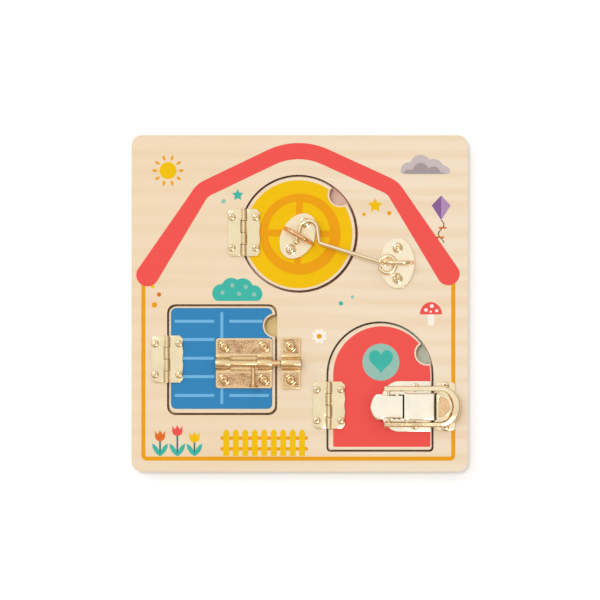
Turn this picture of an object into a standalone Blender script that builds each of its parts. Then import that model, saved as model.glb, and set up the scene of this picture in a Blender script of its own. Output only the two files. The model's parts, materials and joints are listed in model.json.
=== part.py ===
"""Latch board: a square wooden panel with three flush doors, each held by its own latch.

Metres. +Z points out of the face, +Y towards the top of the panel, and the origin is the
centre of the back face. A hook and eye holds the round door, a barrel bolt the square door
and a toggle latch the arched door.
"""
import math

import bmesh
import bpy
from mathutils import Matrix, Vector

# Board, as wide as its two lower doors with their margins
BLUE_MARGIN = 0.0233
BLUE_WIDTH = 0.072
BETWEEN_DOORS = 0.0322
RED_WIDTH = 0.070
RED_MARGIN = 0.0225
BOARD_SIDE = BLUE_MARGIN + BLUE_WIDTH + BETWEEN_DOORS + RED_WIDTH + RED_MARGIN
BOARD_CORNER = 0.0065
BACK_THICKNESS = 0.003
FRONT_THICKNESS = 0.0087

# Clearances
SEAT = 0.0003
DOOR_GAP = 0.0013
DOOR_LIFT = 0.0004
HOLE_PLAY = 0.0003
OVERRUN = 0.001
SINK = 0.0002
WELD = 0.000001

# Round yellow door
YELLOW_X = -0.0008
YELLOW_DROP = 0.0644
YELLOW_Y = BOARD_SIDE / 2 - YELLOW_DROP
YELLOW_RADIUS = 0.0385
YELLOW_HINGE_INSET = 0.0028
YELLOW_HINGE_RISE = 0.0007
YELLOW_NOTCH_ANGLE = math.radians(43)

# Square blue door
BLUE_X = BLUE_MARGIN + BLUE_WIDTH / 2 - BOARD_SIDE / 2
BLUE_RISE = 0.0732
BLUE_Y = BLUE_RISE - BOARD_SIDE / 2
BLUE_HEIGHT = 0.0724
BLUE_CORNER = 0.0055
BLUE_HINGE_INSET = 0.0
BLUE_HINGE_RISE = 0.0004
BLUE_NOTCH_RISE = 0.0222

# Arched red door
RED_X = BOARD_SIDE / 2 - RED_MARGIN - RED_WIDTH / 2
RED_ARCH_RISE = 0.0632
RED_ARCH_Y = RED_ARCH_RISE - BOARD_SIDE / 2
RED_DROP = 0.0502
RED_CORNER = 0.0025
RED_HINGE_INSET = 0.0016
RED_HINGE_RISE = -0.0197
RED_NOTCH_ANGLE = math.radians(25)

NOTCH_RADIUS = 0.007

# Butt hinges
HINGE_LENGTH = 0.0309
LEAF_WIDTH = 0.0106
LEAF_THICKNESS = 0.0008
LEAF_CHAMFER = 0.0024
LEAF_WAVE = 0.00045
LEAF_SETBACK = 0.0021
LEAF_TAB_REACH = 0.0005
KNUCKLE_RADIUS = 0.0017
KNUCKLE_BORE = 0.001
KNUCKLE_GAP = 0.0003
HINGE_PIN_RADIUS = 0.0007
HINGE_SCREW_EDGE = 0.0027
HINGE_SCREW_OUT = LEAF_WIDTH - HINGE_SCREW_EDGE
HINGE_SCREW_END = 0.00535
HINGE_SCREW_UP = HINGE_LENGTH / 2 - HINGE_SCREW_END

# Screws
SHANK_RADIUS = 0.0012
SHANK_LENGTH = 0.0065
SHANK_POINT = 0.0018
HEAD_HEIGHT = 0.0012
HEAD_RIM = 0.0003
HINGE_HEAD_RADIUS = 0.00245
PLATE_HEAD_RADIUS = 0.00275
RECESS_REACH = 0.0013
RECESS_WIDTH = 0.0008
RECESS_TIP = 0.0005
RECESS_DEPTH = 0.0007
DOME_TURNS = (math.radians(54), math.radians(22.5))

# Hook and its two plates
PLATE_THICKNESS = 0.001
HOOK_PLATE_LONG = 0.0334
HOOK_PLATE_SHORT = 0.0229
HOOK_PLATE_SCREW = 0.0101
STAPLE_WIRE = 0.0013
FRAME_PLATE_OUT = 0.0261
FRAME_PLATE_DROP = 0.0192
FRAME_PLATE_X = YELLOW_X + YELLOW_RADIUS + FRAME_PLATE_OUT
FRAME_PLATE_Y = YELLOW_Y - FRAME_PLATE_DROP
FRAME_STAPLE_SPAN = 0.0188
FRAME_STAPLE_HEIGHT = 0.0126
FRAME_STAPLE_BEND = 0.0066
DOOR_PLATE_IN = -0.0002
DOOR_PLATE_RISE = -0.0016
DOOR_PLATE_TILT = math.radians(-29)
DOOR_STAPLE_SPAN = 0.019
DOOR_STAPLE_HEIGHT = 0.0126
DOOR_STAPLE_BEND = 0.007
HOOK_WIRE = 0.0014
HOOK_TIP_RADIUS = 0.002
RING_RADIUS = 0.0055
RING_BACK = 0.0068
RING_DROP = 0.0012
RING_HEIGHT = 0.0096
NOSE_HEIGHT = 0.0046
SHANK_FALL_LENGTH = 0.052
KINK_BEND = 0.002
NOSE_BEND = 0.0052
SHANK_START = 0.0079
HOOK_CORNER_SHARES = ((0.747, 0.133), (0.304, 0.755), (-0.133, 0.503), (0.042, -0.208))
HOOK_PIVOT_IN = 0.0035
HOOK_PIVOT_DROP = 0.0004
HOOK_PIVOT_RISE = 0.0002

# Barrel bolt and keeper
BOLT_PLATE_LENGTH = 0.0366
BOLT_PLATE_WIDTH = 0.0326
BOLT_PLATE_CORNER = 0.0016
BOLT_EDGE = 0.0034
BOLT_DROP = 0.0023
BOLT_AXIS_HEIGHT = 0.005
BOLT_STRAP_LENGTH = 0.0094
STRAP_OUTER = 0.0037
STRAP_INNER = 0.003
STRAP_FOOT = 0.0052
STRAP_FOOT_HEIGHT = 0.0012
ROD_RADIUS = 0.0025
ROD_TIP_RADIUS = 0.002
ROD_TIP_LENGTH = 0.0076
ROD_TIP_GAP = 0.0004
ROD_BEVEL = 0.0004
ROD_BACK = 0.0012
BOLT_THROW = 0.0055
KNOB_BACK = 0.0121
KNOB_SHAFT_RADIUS = 0.0013
KNOB_REACH = 0.0156
KNOB_FLARE_RADIUS = 0.0032
KNOB_FLARE_START = 0.0116
KNOB_CROWN_RADIUS = 0.0026
KNOB_CROWN_EDGE = 0.0006
KNOB_NECK_RADIUS = 0.0019
KNOB_NECK_DROP = 0.0024
KNOB_SLOT_PLAY = 0.0004
BOLT_SCREW_IN = 0.0053
BOLT_SCREW_UP = 0.0108
KEEPER_EDGE = 0.0027
KEEPER_LENGTH = 0.0125
KEEPER_WIDTH = 0.0337

# Toggle latch and catch
TOGGLE_DROP = 0.0205
TOGGLE_EDGE = 0.0018
TOGGLE_PLATE_LENGTH = 0.0334
TOGGLE_PLATE_WIDTH = 0.0329
TOGGLE_PLATE_NOSE = 0.0125
TOGGLE_PLATE_CORNER = 0.0015
TOGGLE_SCREW_BACK = 0.0104
TOGGLE_SCREW_UP = 0.0125
BOX_LENGTH = 0.0182
BOX_WIDTH = 0.0177
BOX_HEIGHT = 0.0102
BOX_WALL = 0.001
BOX_OVERHANG = 0.0013
EAR_THICKNESS = 0.0006
EAR_HALF_LENGTH = 0.0024
EAR_GAP = 0.0004
LEVER_PIVOT_BACK = 0.0225
LEVER_PIVOT_HEIGHT = 0.0068
LEVER_WIDTH = 0.0146
LEVER_TIP_WIDTH = 0.0168
LEVER_TIP_REACH = 0.0171
LEVER_WAIST_REACH = 0.0092
LEVER_TIP_DEPTH = 0.0057
LEVER_BACK = 0.0043
LEVER_THICKNESS = 0.0009
LEVER_RISE = 0.0021
FLANGE_THICKNESS = 0.0008
FLANGE_REACH = 0.0078
FLANGE_HALF_HEIGHT = 0.0021
FLANGE_INSET = 0.00005
LEVER_PIN_RADIUS = 0.0009
BAIL_PIVOT_FORWARD = 0.0052
BAIL_PIVOT_DROP = 0.0013
BAIL_STUB_RADIUS = 0.0008
BAIL_STUB_INSIDE = 0.0003
BAIL_THICKNESS = 0.0018
BAIL_ARM_WIDTH = 0.0033
BAIL_OUTER_HALF = 0.01345
BAIL_END_WIDTH = 0.0054
BAIL_TAIL = 0.0028
BAIL_CATCH_GAP = 0.0006
CATCH_EDGE = 0.001
CATCH_LENGTH = 0.013
CATCH_WIDTH = 0.0315
CATCH_CORNER = 0.0025
CATCH_SCREW_UP = 0.0134
BOSS_START = 0.0013
BOSS_RADIUS = 0.0081
BOSS_STRAIGHT = 0.0013
BOSS_HEIGHT = 0.008
BOSS_RIM = 0.0011
BOSS_RECESS = 0.002

# Angle over which an edge is drawn sharp
SHARP_ANGLE = math.radians(35)

# Counts of straight steps
PANEL_STEPS = 72
SMALL_STEPS = 12
HOLE_STEPS = 8
SCREW_STEPS = 10
ROD_STEPS = 16
BALL_RINGS = 8
CORNER_STEPS = 5
WIRE_STEPS = 6
RING_STEPS = 20
KNUCKLES = 4
WAVES = 3
WAVE_STEPS = 4

QUARTER = math.pi / 2

# Levels above the back face
FACE = BACK_THICKNESS + SEAT + FRONT_THICKNESS
LEAF_BASE = FACE + SEAT
HINGE_AXIS_Z = LEAF_BASE + KNUCKLE_RADIUS
PLATE_TOP = FACE + SEAT + PLATE_THICKNESS

PLANES = {
    "XY": Matrix.Identity(4),
    "XZ": Matrix.Rotation(QUARTER, 4, "X"),
    "YZ": Matrix(((0, 0, 1, 0), (1, 0, 0, 0), (0, 1, 0, 0), (0, 0, 0, 1))),
}

# Colour, roughness and metallic value of each finish
FINISHES = {
    "plywood": ((0.86, 0.70, 0.50), 0.6, 0.0),
    "yellow": ((0.87, 0.54, 0.0), 0.5, 0.0),
    "blue": ((0.03, 0.23, 0.50), 0.5, 0.0),
    "red": ((0.89, 0.10, 0.09), 0.5, 0.0),
    "pale_brass": ((0.84, 0.72, 0.48), 0.28, 1.0),
    "brass": ((0.70, 0.48, 0.26), 0.35, 1.0),
}


# Outlines

def arc(x, y, radius, start, end, steps):
    """Points of an arc about (x, y), angles in radians, both ends included."""
    turns = [start + (end - start) * step / steps for step in range(steps + 1)]
    return [(x + radius * math.cos(turn), y + radius * math.sin(turn)) for turn in turns]


def circle(x, y, radius, steps=SMALL_STEPS):
    """A round outline, begun a little off the axis so that no two points share a level."""
    start = QUARTER / steps
    return arc(x, y, radius, start, start + math.tau, steps)[:-1]


def ellipse(x, y, long_half, short_half, angle, steps):
    points = []
    for px, py in circle(0, 0, 1, steps):
        offset = Vector((px * long_half, py * short_half))
        offset.rotate(Matrix.Rotation(angle, 2))
        points.append((x + offset.x, y + offset.y))
    return points


def rounded_box(x, y, width, height, corner, steps=CORNER_STEPS):
    across = width / 2 - corner
    up = height / 2 - corner
    points = []
    for turn, (sx, sy) in enumerate(((1, 1), (-1, 1), (-1, -1), (1, -1))):
        start = turn * QUARTER
        points += arc(x + sx * across, y + sy * up, corner, start, start + QUARTER, steps)
    return points


def arched(inset):
    """The arched doorway, drawn smaller by inset on every side."""
    half = RED_WIDTH / 2 - inset
    corner = max(RED_CORNER - inset / 2, WELD)
    bottom = RED_ARCH_Y - RED_DROP + inset
    points = arc(RED_X, RED_ARCH_Y, half, 0, math.pi, PANEL_STEPS // 2)
    points += arc(RED_X - half + corner, bottom + corner, corner, math.pi, 3 * QUARTER, CORNER_STEPS)
    points += arc(RED_X + half - corner, bottom + corner, corner, 3 * QUARTER, math.tau, CORNER_STEPS)
    return points


def round_doorway(inset):
    return circle(YELLOW_X, YELLOW_Y, YELLOW_RADIUS - inset, PANEL_STEPS)


def square_doorway(inset):
    corner = BLUE_CORNER - inset / 2
    return rounded_box(BLUE_X, BLUE_Y, BLUE_WIDTH - 2 * inset, BLUE_HEIGHT - 2 * inset, corner)


def filleted(points, radii, steps):
    """An open path through points in 2D, with the inner corners rounded."""
    path = [Vector(points[0])]
    for before, corner, after, radius in zip(points, points[1:], points[2:], radii):
        back = (Vector(before) - Vector(corner)).normalized()
        ahead = (Vector(after) - Vector(corner)).normalized()
        half_angle = back.angle(ahead) / 2
        centre = Vector(corner) + (back + ahead).normalized() * radius / math.sin(half_angle)
        first = Vector(corner) + back * radius / math.tan(half_angle)
        last = Vector(corner) + ahead * radius / math.tan(half_angle)
        start = math.atan2(first.y - centre.y, first.x - centre.x)
        sweep = math.atan2(last.y - centre.y, last.x - centre.x) - start
        sweep = (sweep + math.pi) % math.tau - math.pi
        path += [Vector(point) for point in arc(centre.x, centre.y, radius, start, start + sweep, steps)]
    return path + [Vector(points[-1])]


# Modelling helpers

def link(obj, group="latch_board"):
    bpy.data.collections[group].objects.link(obj)
    return obj


def bake(source, name):
    """A mesh object with the evaluated shape of source, which is removed."""
    bpy.context.view_layer.update()
    depsgraph = bpy.context.evaluated_depsgraph_get()
    mesh = bpy.data.meshes.new_from_object(source.evaluated_get(depsgraph))
    mesh.name = name
    shape = bmesh.new()
    shape.from_mesh(mesh)
    bmesh.ops.remove_doubles(shape, verts=shape.verts, dist=WELD)
    bmesh.ops.recalc_face_normals(shape, faces=shape.faces)
    shape.to_mesh(mesh)
    shape.free()
    solid = bpy.data.objects.new(name, mesh)
    solid.matrix_world = source.matrix_world
    bpy.data.objects.remove(source)
    return link(solid)


def flat_solid(name, outlines, middle, thickness, plane="XY"):
    """A plate: the first outline is its edge and the others are its holes."""
    curve = bpy.data.curves.new(name, "CURVE")
    curve.dimensions = "2D"
    curve.fill_mode = "BOTH"
    curve.extrude = thickness / 2
    for outline in outlines:
        spline = curve.splines.new("POLY")
        spline.points.add(len(outline) - 1)
        for point, (x, y) in zip(spline.points, outline):
            point.co = (x, y, 0, 1)
        spline.use_cyclic_u = True
    source = link(bpy.data.objects.new("outline", curve))
    source.matrix_world = Matrix.Translation(middle) @ PLANES[plane]
    return bake(source, name)


def plate(name, outlines, low, thickness):
    return flat_solid(name, outlines, (0, 0, low + thickness / 2), thickness)


def wire(name, points, radius):
    """A round wire along points, with closed ends."""
    curve = bpy.data.curves.new(name, "CURVE")
    curve.dimensions = "3D"
    curve.bevel_depth = radius
    curve.bevel_resolution = 2
    curve.use_fill_caps = True
    spline = curve.splines.new("POLY")
    spline.points.add(len(points) - 1)
    for point, place in zip(spline.points, points):
        point.co = (*place, 1)
    return bake(link(bpy.data.objects.new("path", curve)), name)


def turned(name, profile, matrix, steps=SMALL_STEPS):
    """A solid turned about local Z from a profile of (radius, height), top to bottom."""
    mesh = bpy.data.meshes.new(name)
    edges = [(index, index + 1) for index in range(len(profile) - 1)]
    mesh.from_pydata([(radius, 0, height) for radius, height in profile], edges, [])
    source = link(bpy.data.objects.new("profile", mesh))
    source.matrix_world = matrix
    turn = source.modifiers.new("turn", "SCREW")
    turn.steps = steps
    turn.render_steps = steps
    turn.use_merge_vertices = True
    turn.merge_threshold = WELD
    return bake(source, name)


def primitive(name, shape, place, turn=Matrix.Identity(4)):
    """An object from a bmesh primitive, turned and moved to its place."""
    mesh = bpy.data.meshes.new(name)
    shape.to_mesh(mesh)
    shape.free()
    obj = link(bpy.data.objects.new(name, mesh))
    obj.matrix_world = Matrix.Translation(place) @ turn
    return obj


def crossbar(name, radius, middle, length):
    """A round bar along Y."""
    shape = bmesh.new()
    bmesh.ops.create_cone(shape, cap_ends=True, segments=SMALL_STEPS, radius1=radius, radius2=radius,
                          depth=length)
    return primitive(name, shape, middle, Matrix.Rotation(QUARTER, 4, "X"))


def ball(name, radius, place):
    shape = bmesh.new()
    bmesh.ops.create_uvsphere(shape, u_segments=SMALL_STEPS, v_segments=BALL_RINGS, radius=radius)
    return primitive(name, shape, place)


def combine(target, tool, operation):
    """Cuts tool from target, or joins it on, with a Boolean modifier."""
    bpy.data.collections["latch_board"].objects.unlink(tool)
    link(tool, "latch_board_tools")
    tool.name = operation.lower() + "_" + tool.name
    tool.hide_render = True
    tool.display_type = "WIRE"
    change = target.modifiers.new(tool.name, "BOOLEAN")
    change.operation = operation
    change.solver = "EXACT"
    change.object = tool
    return target


def finish(obj, kind):
    """Gives a piece its own material and smooth round faces."""
    colour, roughness, metallic = FINISHES[kind]
    material = bpy.data.materials.new(obj.name + "_" + kind)
    material.use_nodes = True
    shader = material.node_tree.nodes["Principled BSDF"]
    shader.inputs["Base Color"].default_value = (*colour, 1)
    shader.inputs["Roughness"].default_value = roughness
    shader.inputs["Metallic"].default_value = metallic
    obj.data.materials.clear()
    obj.data.materials.append(material)
    obj.data.shade_smooth()
    obj.data.set_sharp_from_angle(angle=SHARP_ANGLE)
    return obj


def joint_axis(name, place, parent=None):
    """An empty on a joint's axis, which carries the pieces of one moving body."""
    empty = link(bpy.data.objects.new(name, None))
    empty.empty_display_size = NOTCH_RADIUS
    empty.location = place
    if parent:
        carry(parent, [empty])
    return empty


def carry(parent, pieces):
    bpy.context.view_layer.update()
    for piece in pieces:
        piece.parent = parent
        piece.matrix_parent_inverse = parent.matrix_world.inverted()


# Screws

def screw_shape(head_radius):
    """A pan head screw with a cross recess, seated at z 0."""
    profile = [(0, HEAD_HEIGHT)]
    dome = HEAD_HEIGHT - HEAD_RIM
    for angle in DOME_TURNS:
        profile.append((head_radius * math.cos(angle), HEAD_RIM + dome * math.sin(angle)))
    profile += [(head_radius, HEAD_RIM), (head_radius, 0), (SHANK_RADIUS, 0)]
    profile += [(SHANK_RADIUS, SHANK_POINT - SHANK_LENGTH), (0, -SHANK_LENGTH)]
    screw = turned("screw", profile, Matrix.Identity(4), SCREW_STEPS)
    cross = []
    for quarter in range(4):
        for arm in ((RECESS_REACH, -RECESS_TIP / 2), (RECESS_REACH, RECESS_TIP / 2), (RECESS_WIDTH / 2,) * 2):
            corner = Vector(arm)
            corner.rotate(Matrix.Rotation(quarter * QUARTER, 2))
            cross.append(tuple(corner))
    recess = plate("recess", [cross], HEAD_HEIGHT - RECESS_DEPTH, RECESS_DEPTH + OVERRUN)
    shape = bake(combine(screw, recess, "DIFFERENCE"), "screw_shape")
    bpy.data.objects.remove(recess)
    mesh = shape.data
    bpy.data.objects.remove(shape)
    return mesh


def screws(name, shape, places, seat, kind):
    """One screw at each place, its head on the level seat."""
    pieces = []
    for number, (x, y) in enumerate(places, 1):
        screw = link(bpy.data.objects.new(f"{name}_{number}", shape.copy()))
        screw.location = (x, y, seat)
        pieces.append(finish(screw, kind))
    return pieces


def screw_holes(places):
    return [circle(x, y, SHANK_RADIUS + HOLE_PLAY, HOLE_STEPS) for x, y in places]


# Places of the hardware

def hinge_lines():
    """The axis of each door's hinge, as x and the y of its middle."""
    return {
        "yellow": (YELLOW_X - YELLOW_RADIUS + YELLOW_HINGE_INSET, YELLOW_Y + YELLOW_HINGE_RISE),
        "blue": (BLUE_X - BLUE_WIDTH / 2 + BLUE_HINGE_INSET, BLUE_Y + BLUE_HINGE_RISE),
        "red": (RED_X - RED_WIDTH / 2 + RED_HINGE_INSET, RED_ARCH_Y + RED_HINGE_RISE),
    }


def hinge_screw_places(line, side):
    x, y = line
    return [(x + side * HINGE_SCREW_OUT, y + up * HINGE_SCREW_UP) for up in (1, -1)]


def frame_plate_centre():
    return Vector((FRAME_PLATE_X, FRAME_PLATE_Y))


def door_plate_centre():
    return Vector((YELLOW_X + DOOR_PLATE_IN, YELLOW_Y + DOOR_PLATE_RISE))


def hook_plate_screws(centre, angle):
    """Screws on the long axis of an oval plate, whose staple lies along angle."""
    along = Vector((-math.sin(angle), math.cos(angle))) * HOOK_PLATE_SCREW
    return [tuple(centre + along), tuple(centre - along)]


def bolt_right():
    return BLUE_X + BLUE_WIDTH / 2 - BOLT_EDGE


def bolt_y():
    return BLUE_Y - BOLT_DROP


def keeper_left():
    return BLUE_X + BLUE_WIDTH / 2 + KEEPER_EDGE


def bolt_screw_places():
    left = bolt_right() - BOLT_PLATE_LENGTH + BOLT_SCREW_IN
    right = bolt_right() - BOLT_SCREW_IN
    return [(x, bolt_y() + up * BOLT_SCREW_UP) for x in (left, right) for up in (1, -1)]


def keeper_screw_places():
    x = keeper_left() + KEEPER_LENGTH / 2
    return [(x, bolt_y() + up * BOLT_SCREW_UP) for up in (1, -1)]


def red_edge():
    return RED_X + RED_WIDTH / 2


def toggle_y():
    return RED_ARCH_Y - TOGGLE_DROP


def toggle_right():
    return red_edge() - TOGGLE_EDGE


def toggle_screw_places():
    x = toggle_right() - TOGGLE_SCREW_BACK
    return [(x, toggle_y() + up * TOGGLE_SCREW_UP) for up in (1, -1)]


def catch_left():
    return red_edge() + CATCH_EDGE


def catch_screw_places():
    x = catch_left() + CATCH_LENGTH / 2
    return [(x, toggle_y() + up * CATCH_SCREW_UP) for up in (1, -1)]


def lever_pivot():
    return Vector((toggle_right() - LEVER_PIVOT_BACK, toggle_y(), FACE + LEVER_PIVOT_HEIGHT))


def bail_pivot():
    return lever_pivot() - Vector((BAIL_PIVOT_FORWARD, 0, BAIL_PIVOT_DROP))


def bolt_axis_z():
    return FACE + BOLT_AXIS_HEIGHT


# Wooden pieces

def back_panel():
    outline = rounded_box(0, 0, BOARD_SIDE, BOARD_SIDE, BOARD_CORNER)
    return [finish(plate("back_panel", [outline], 0, BACK_THICKNESS), "plywood")]


def front_panel():
    """The front ply, with a doorway for each door and a pilot hole for each screw."""
    places = hook_plate_screws(frame_plate_centre(), 0) + keeper_screw_places() + catch_screw_places()
    for line in hinge_lines().values():
        places += hinge_screw_places(line, -1)
    outlines = [rounded_box(0, 0, BOARD_SIDE, BOARD_SIDE, BOARD_CORNER)]
    outlines += [round_doorway(0), square_doorway(0), arched(0)]
    outlines += screw_holes(places)
    panel = plate("front_panel", outlines, BACK_THICKNESS + SEAT, FRONT_THICKNESS)
    return [finish(panel, "plywood")]


def door(name, outline, notch, holes):
    """A door cut from the front ply, with a round finger notch in its edge."""
    low = BACK_THICKNESS + SEAT + DOOR_LIFT
    body = plate(name, [outline] + screw_holes(holes), low, FACE - low)
    cut_low = low - OVERRUN
    cutter = plate(name + "_notch", [circle(*notch, NOTCH_RADIUS, PANEL_STEPS // 2)], cut_low,
                   FACE + OVERRUN - cut_low)
    return combine(body, cutter, "DIFFERENCE")


def yellow_door():
    reach = YELLOW_RADIUS - DOOR_GAP
    notch = (YELLOW_X + reach * math.cos(YELLOW_NOTCH_ANGLE), YELLOW_Y + reach * math.sin(YELLOW_NOTCH_ANGLE))
    holes = hinge_screw_places(hinge_lines()["yellow"], 1)
    holes += hook_plate_screws(door_plate_centre(), DOOR_PLATE_TILT)
    return finish(door("yellow_door", round_doorway(DOOR_GAP), notch, holes), "yellow")


def blue_door():
    notch = (BLUE_X + BLUE_WIDTH / 2 - DOOR_GAP, BLUE_Y + BLUE_NOTCH_RISE)
    holes = hinge_screw_places(hinge_lines()["blue"], 1) + bolt_screw_places()
    return finish(door("blue_door", square_doorway(DOOR_GAP), notch, holes), "blue")


def red_door():
    reach = RED_WIDTH / 2 - DOOR_GAP
    notch = (RED_X + reach * math.cos(RED_NOTCH_ANGLE), RED_ARCH_Y + reach * math.sin(RED_NOTCH_ANGLE))
    holes = hinge_screw_places(hinge_lines()["red"], 1) + toggle_screw_places()
    return finish(door("red_door", arched(DOOR_GAP), notch, holes), "red")


# Butt hinges

def leaf_outline(first_own):
    """One leaf in plan, x outwards from the pin, with a tab at each of its own knuckles."""
    half = HINGE_LENGTH / 2
    pitch = HINGE_LENGTH / KNUCKLES
    points = [(LEAF_SETBACK, -half)]
    for knuckle in range(first_own, KNUCKLES, 2):
        low = -half + knuckle * pitch + KNUCKLE_GAP
        high = low + pitch - 2 * KNUCKLE_GAP
        points += [(LEAF_SETBACK, low), (LEAF_TAB_REACH, low), (LEAF_TAB_REACH, high), (LEAF_SETBACK, high)]
    points += [(LEAF_SETBACK, half), (LEAF_WIDTH - LEAF_CHAMFER, half)]
    wave_half = half - LEAF_CHAMFER
    for step in range(WAVES * WAVE_STEPS + 1):
        share = step / (WAVES * WAVE_STEPS)
        dip = LEAF_WAVE * (1 - math.cos(share * WAVES * math.tau)) / 2
        points.append((LEAF_WIDTH - dip, wave_half - 2 * wave_half * share))
    points.append((LEAF_WIDTH - LEAF_CHAMFER, -half))
    return drop_repeats(points)


def drop_repeats(points):
    return [point for index, point in enumerate(points) if math.dist(point, points[index - 1]) > WELD]


def hinge_leaf(name, line, side, first_own):
    """A leaf with its knuckles rolled round the pin; side is -1 on the board and 1 on the door."""
    x, y = line
    edge = [(x + side * px, y + py) for px, py in leaf_outline(first_own)]
    holes = screw_holes(hinge_screw_places(line, side))
    leaf = plate(name, [edge] + holes, LEAF_BASE, LEAF_THICKNESS)
    pitch = HINGE_LENGTH / KNUCKLES
    tube = [circle(0, 0, KNUCKLE_RADIUS), circle(0, 0, KNUCKLE_BORE)]
    for knuckle in range(first_own, KNUCKLES, 2):
        middle = (x, y - HINGE_LENGTH / 2 + knuckle * pitch + pitch / 2, HINGE_AXIS_Z)
        roll = flat_solid(f"{name}_knuckle_{knuckle}", tube, middle, pitch - KNUCKLE_GAP, "XZ")
        combine(leaf, roll, "UNION")
    return finish(leaf, "pale_brass")


def hinge(colour, shape):
    """Both leaves, the pin and the four screws of one door's hinge."""
    line = hinge_lines()[colour]
    x, y = line
    name = colour + "_hinge"
    pin = crossbar(name + "_pin", HINGE_PIN_RADIUS, (x, y, HINGE_AXIS_Z), HINGE_LENGTH)
    on_board = [hinge_leaf(name + "_frame_leaf", line, -1, 1), finish(pin, "pale_brass")]
    on_door = [hinge_leaf(name + "_door_leaf", line, 1, 0)]
    seat = LEAF_BASE + LEAF_THICKNESS + SEAT
    on_board += screws(name + "_frame_screw", shape, hinge_screw_places(line, -1), seat, "pale_brass")
    on_door += screws(name + "_door_screw", shape, hinge_screw_places(line, 1), seat, "pale_brass")
    return on_board, on_door


# Hook and eye

def staple_path(centre, angle, span, height, bend):
    """The centre line of a staple: two legs from the plate's underside and a rounded top."""
    half = span / 2
    foot = SEAT + STAPLE_WIRE / 2
    left = [(-half, foot)] + arc(-half + bend, height - bend, bend, math.pi, QUARTER, WIRE_STEPS)
    right = [(-across, up) for across, up in reversed(left)]
    along = Vector((math.cos(angle), math.sin(angle)))
    return [(*(centre + along * across), FACE + up) for across, up in left + right]


def hook_plate(name, centre, angle, span):
    """An oval plate with two screw holes and the two holes of its staple."""
    along = Vector((math.cos(angle), math.sin(angle))) * span / 2
    edge = ellipse(*centre, HOOK_PLATE_SHORT / 2, HOOK_PLATE_LONG / 2, angle, PANEL_STEPS // 2)
    holes = screw_holes(hook_plate_screws(centre, angle))
    holes += [circle(*(centre + side * along), STAPLE_WIRE + HOLE_PLAY) for side in (1, -1)]
    return finish(plate(name, [edge] + holes, FACE + SEAT, PLATE_THICKNESS), "pale_brass")


def hook_frame_plate(shape):
    centre = frame_plate_centre()
    path = staple_path(centre, 0, FRAME_STAPLE_SPAN, FRAME_STAPLE_HEIGHT, FRAME_STAPLE_BEND)
    pieces = [hook_plate("hook_frame_plate", centre, 0, FRAME_STAPLE_SPAN)]
    pieces.append(finish(wire("hook_frame_staple", path, STAPLE_WIRE), "pale_brass"))
    places = hook_plate_screws(centre, 0)
    return pieces + screws("hook_frame_screw", shape, places, PLATE_TOP + SEAT, "pale_brass")


def hook_door_plate(shape):
    centre = door_plate_centre()
    angle = DOOR_PLATE_TILT
    path = staple_path(centre, angle, DOOR_STAPLE_SPAN, DOOR_STAPLE_HEIGHT, DOOR_STAPLE_BEND)
    pieces = [hook_plate("hook_door_plate", centre, angle, DOOR_STAPLE_SPAN)]
    pieces.append(finish(wire("hook_door_staple", path, STAPLE_WIRE), "pale_brass"))
    places = hook_plate_screws(centre, angle)
    return pieces + screws("hook_door_screw", shape, places, PLATE_TOP + SEAT, "pale_brass")


def ring_centre():
    return frame_plate_centre() - Vector((RING_BACK, RING_DROP))


def hook():
    """One bent wire: a ring round the frame staple, a shank and a nose under the door staple."""
    eye = ring_centre()
    door_centre = door_plate_centre()
    staple = Vector((math.cos(DOOR_PLATE_TILT), math.sin(DOOR_PLATE_TILT)))
    up = Vector((-staple.y, staple.x))

    def at(across, rise):
        return door_centre + staple * across + up * rise

    corners = [at(DOOR_STAPLE_SPAN * across, DOOR_STAPLE_SPAN * rise) for across, rise in HOOK_CORNER_SHARES]
    towards = (corners[0] - eye).normalized()
    start = eye + towards * SHANK_START
    nose = filleted([start] + corners, (KINK_BEND, NOSE_BEND, NOSE_BEND), WIRE_STEPS)
    heading = math.atan2(towards.y, towards.x)
    open_angle = (HOOK_WIRE * 2 + HOLE_PLAY) / RING_RADIUS
    ring = arc(*eye, RING_RADIUS, heading + open_angle - math.tau, heading, RING_STEPS)
    fall = NOSE_HEIGHT - RING_HEIGHT
    path = []
    for x, y in ring + [tuple(point) for point in nose]:
        away = (math.dist((x, y), eye) - RING_RADIUS) / SHANK_FALL_LENGTH
        path.append((x, y, FACE + RING_HEIGHT + fall * min(max(away, 0), 1)))
    body = wire("hook", path, HOOK_WIRE)
    return finish(combine(body, ball("hook_tip", HOOK_TIP_RADIUS, path[-1]), "UNION"), "pale_brass")


def hook_pivot():
    eye = ring_centre()
    return Vector((eye.x + HOOK_PIVOT_IN, eye.y - HOOK_PIVOT_DROP, FACE + RING_HEIGHT + HOOK_PIVOT_RISE))


# Barrel bolt

def strap_profile():
    """The pressed strap over the rod, seen along the rod, with the plate's top at height 0."""
    axis = bolt_axis_z() - PLATE_TOP
    outer = [(STRAP_FOOT, -SINK), (STRAP_FOOT, 0), (STRAP_OUTER, STRAP_FOOT_HEIGHT)]
    outer += arc(0, axis, STRAP_OUTER, 0, math.pi, SMALL_STEPS)
    outer += [(-STRAP_OUTER, STRAP_FOOT_HEIGHT), (-STRAP_FOOT, 0), (-STRAP_FOOT, -SINK)]
    inner = arc(0, axis, STRAP_INNER, math.pi, 0, SMALL_STEPS)
    return outer + [(-STRAP_INNER, -SINK)] + inner + [(STRAP_INNER, -SINK)]


def strap(name, left, length):
    middle = (left + length / 2, bolt_y(), PLATE_TOP)
    return flat_solid(name, [strap_profile()], middle, length, "YZ")


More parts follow.
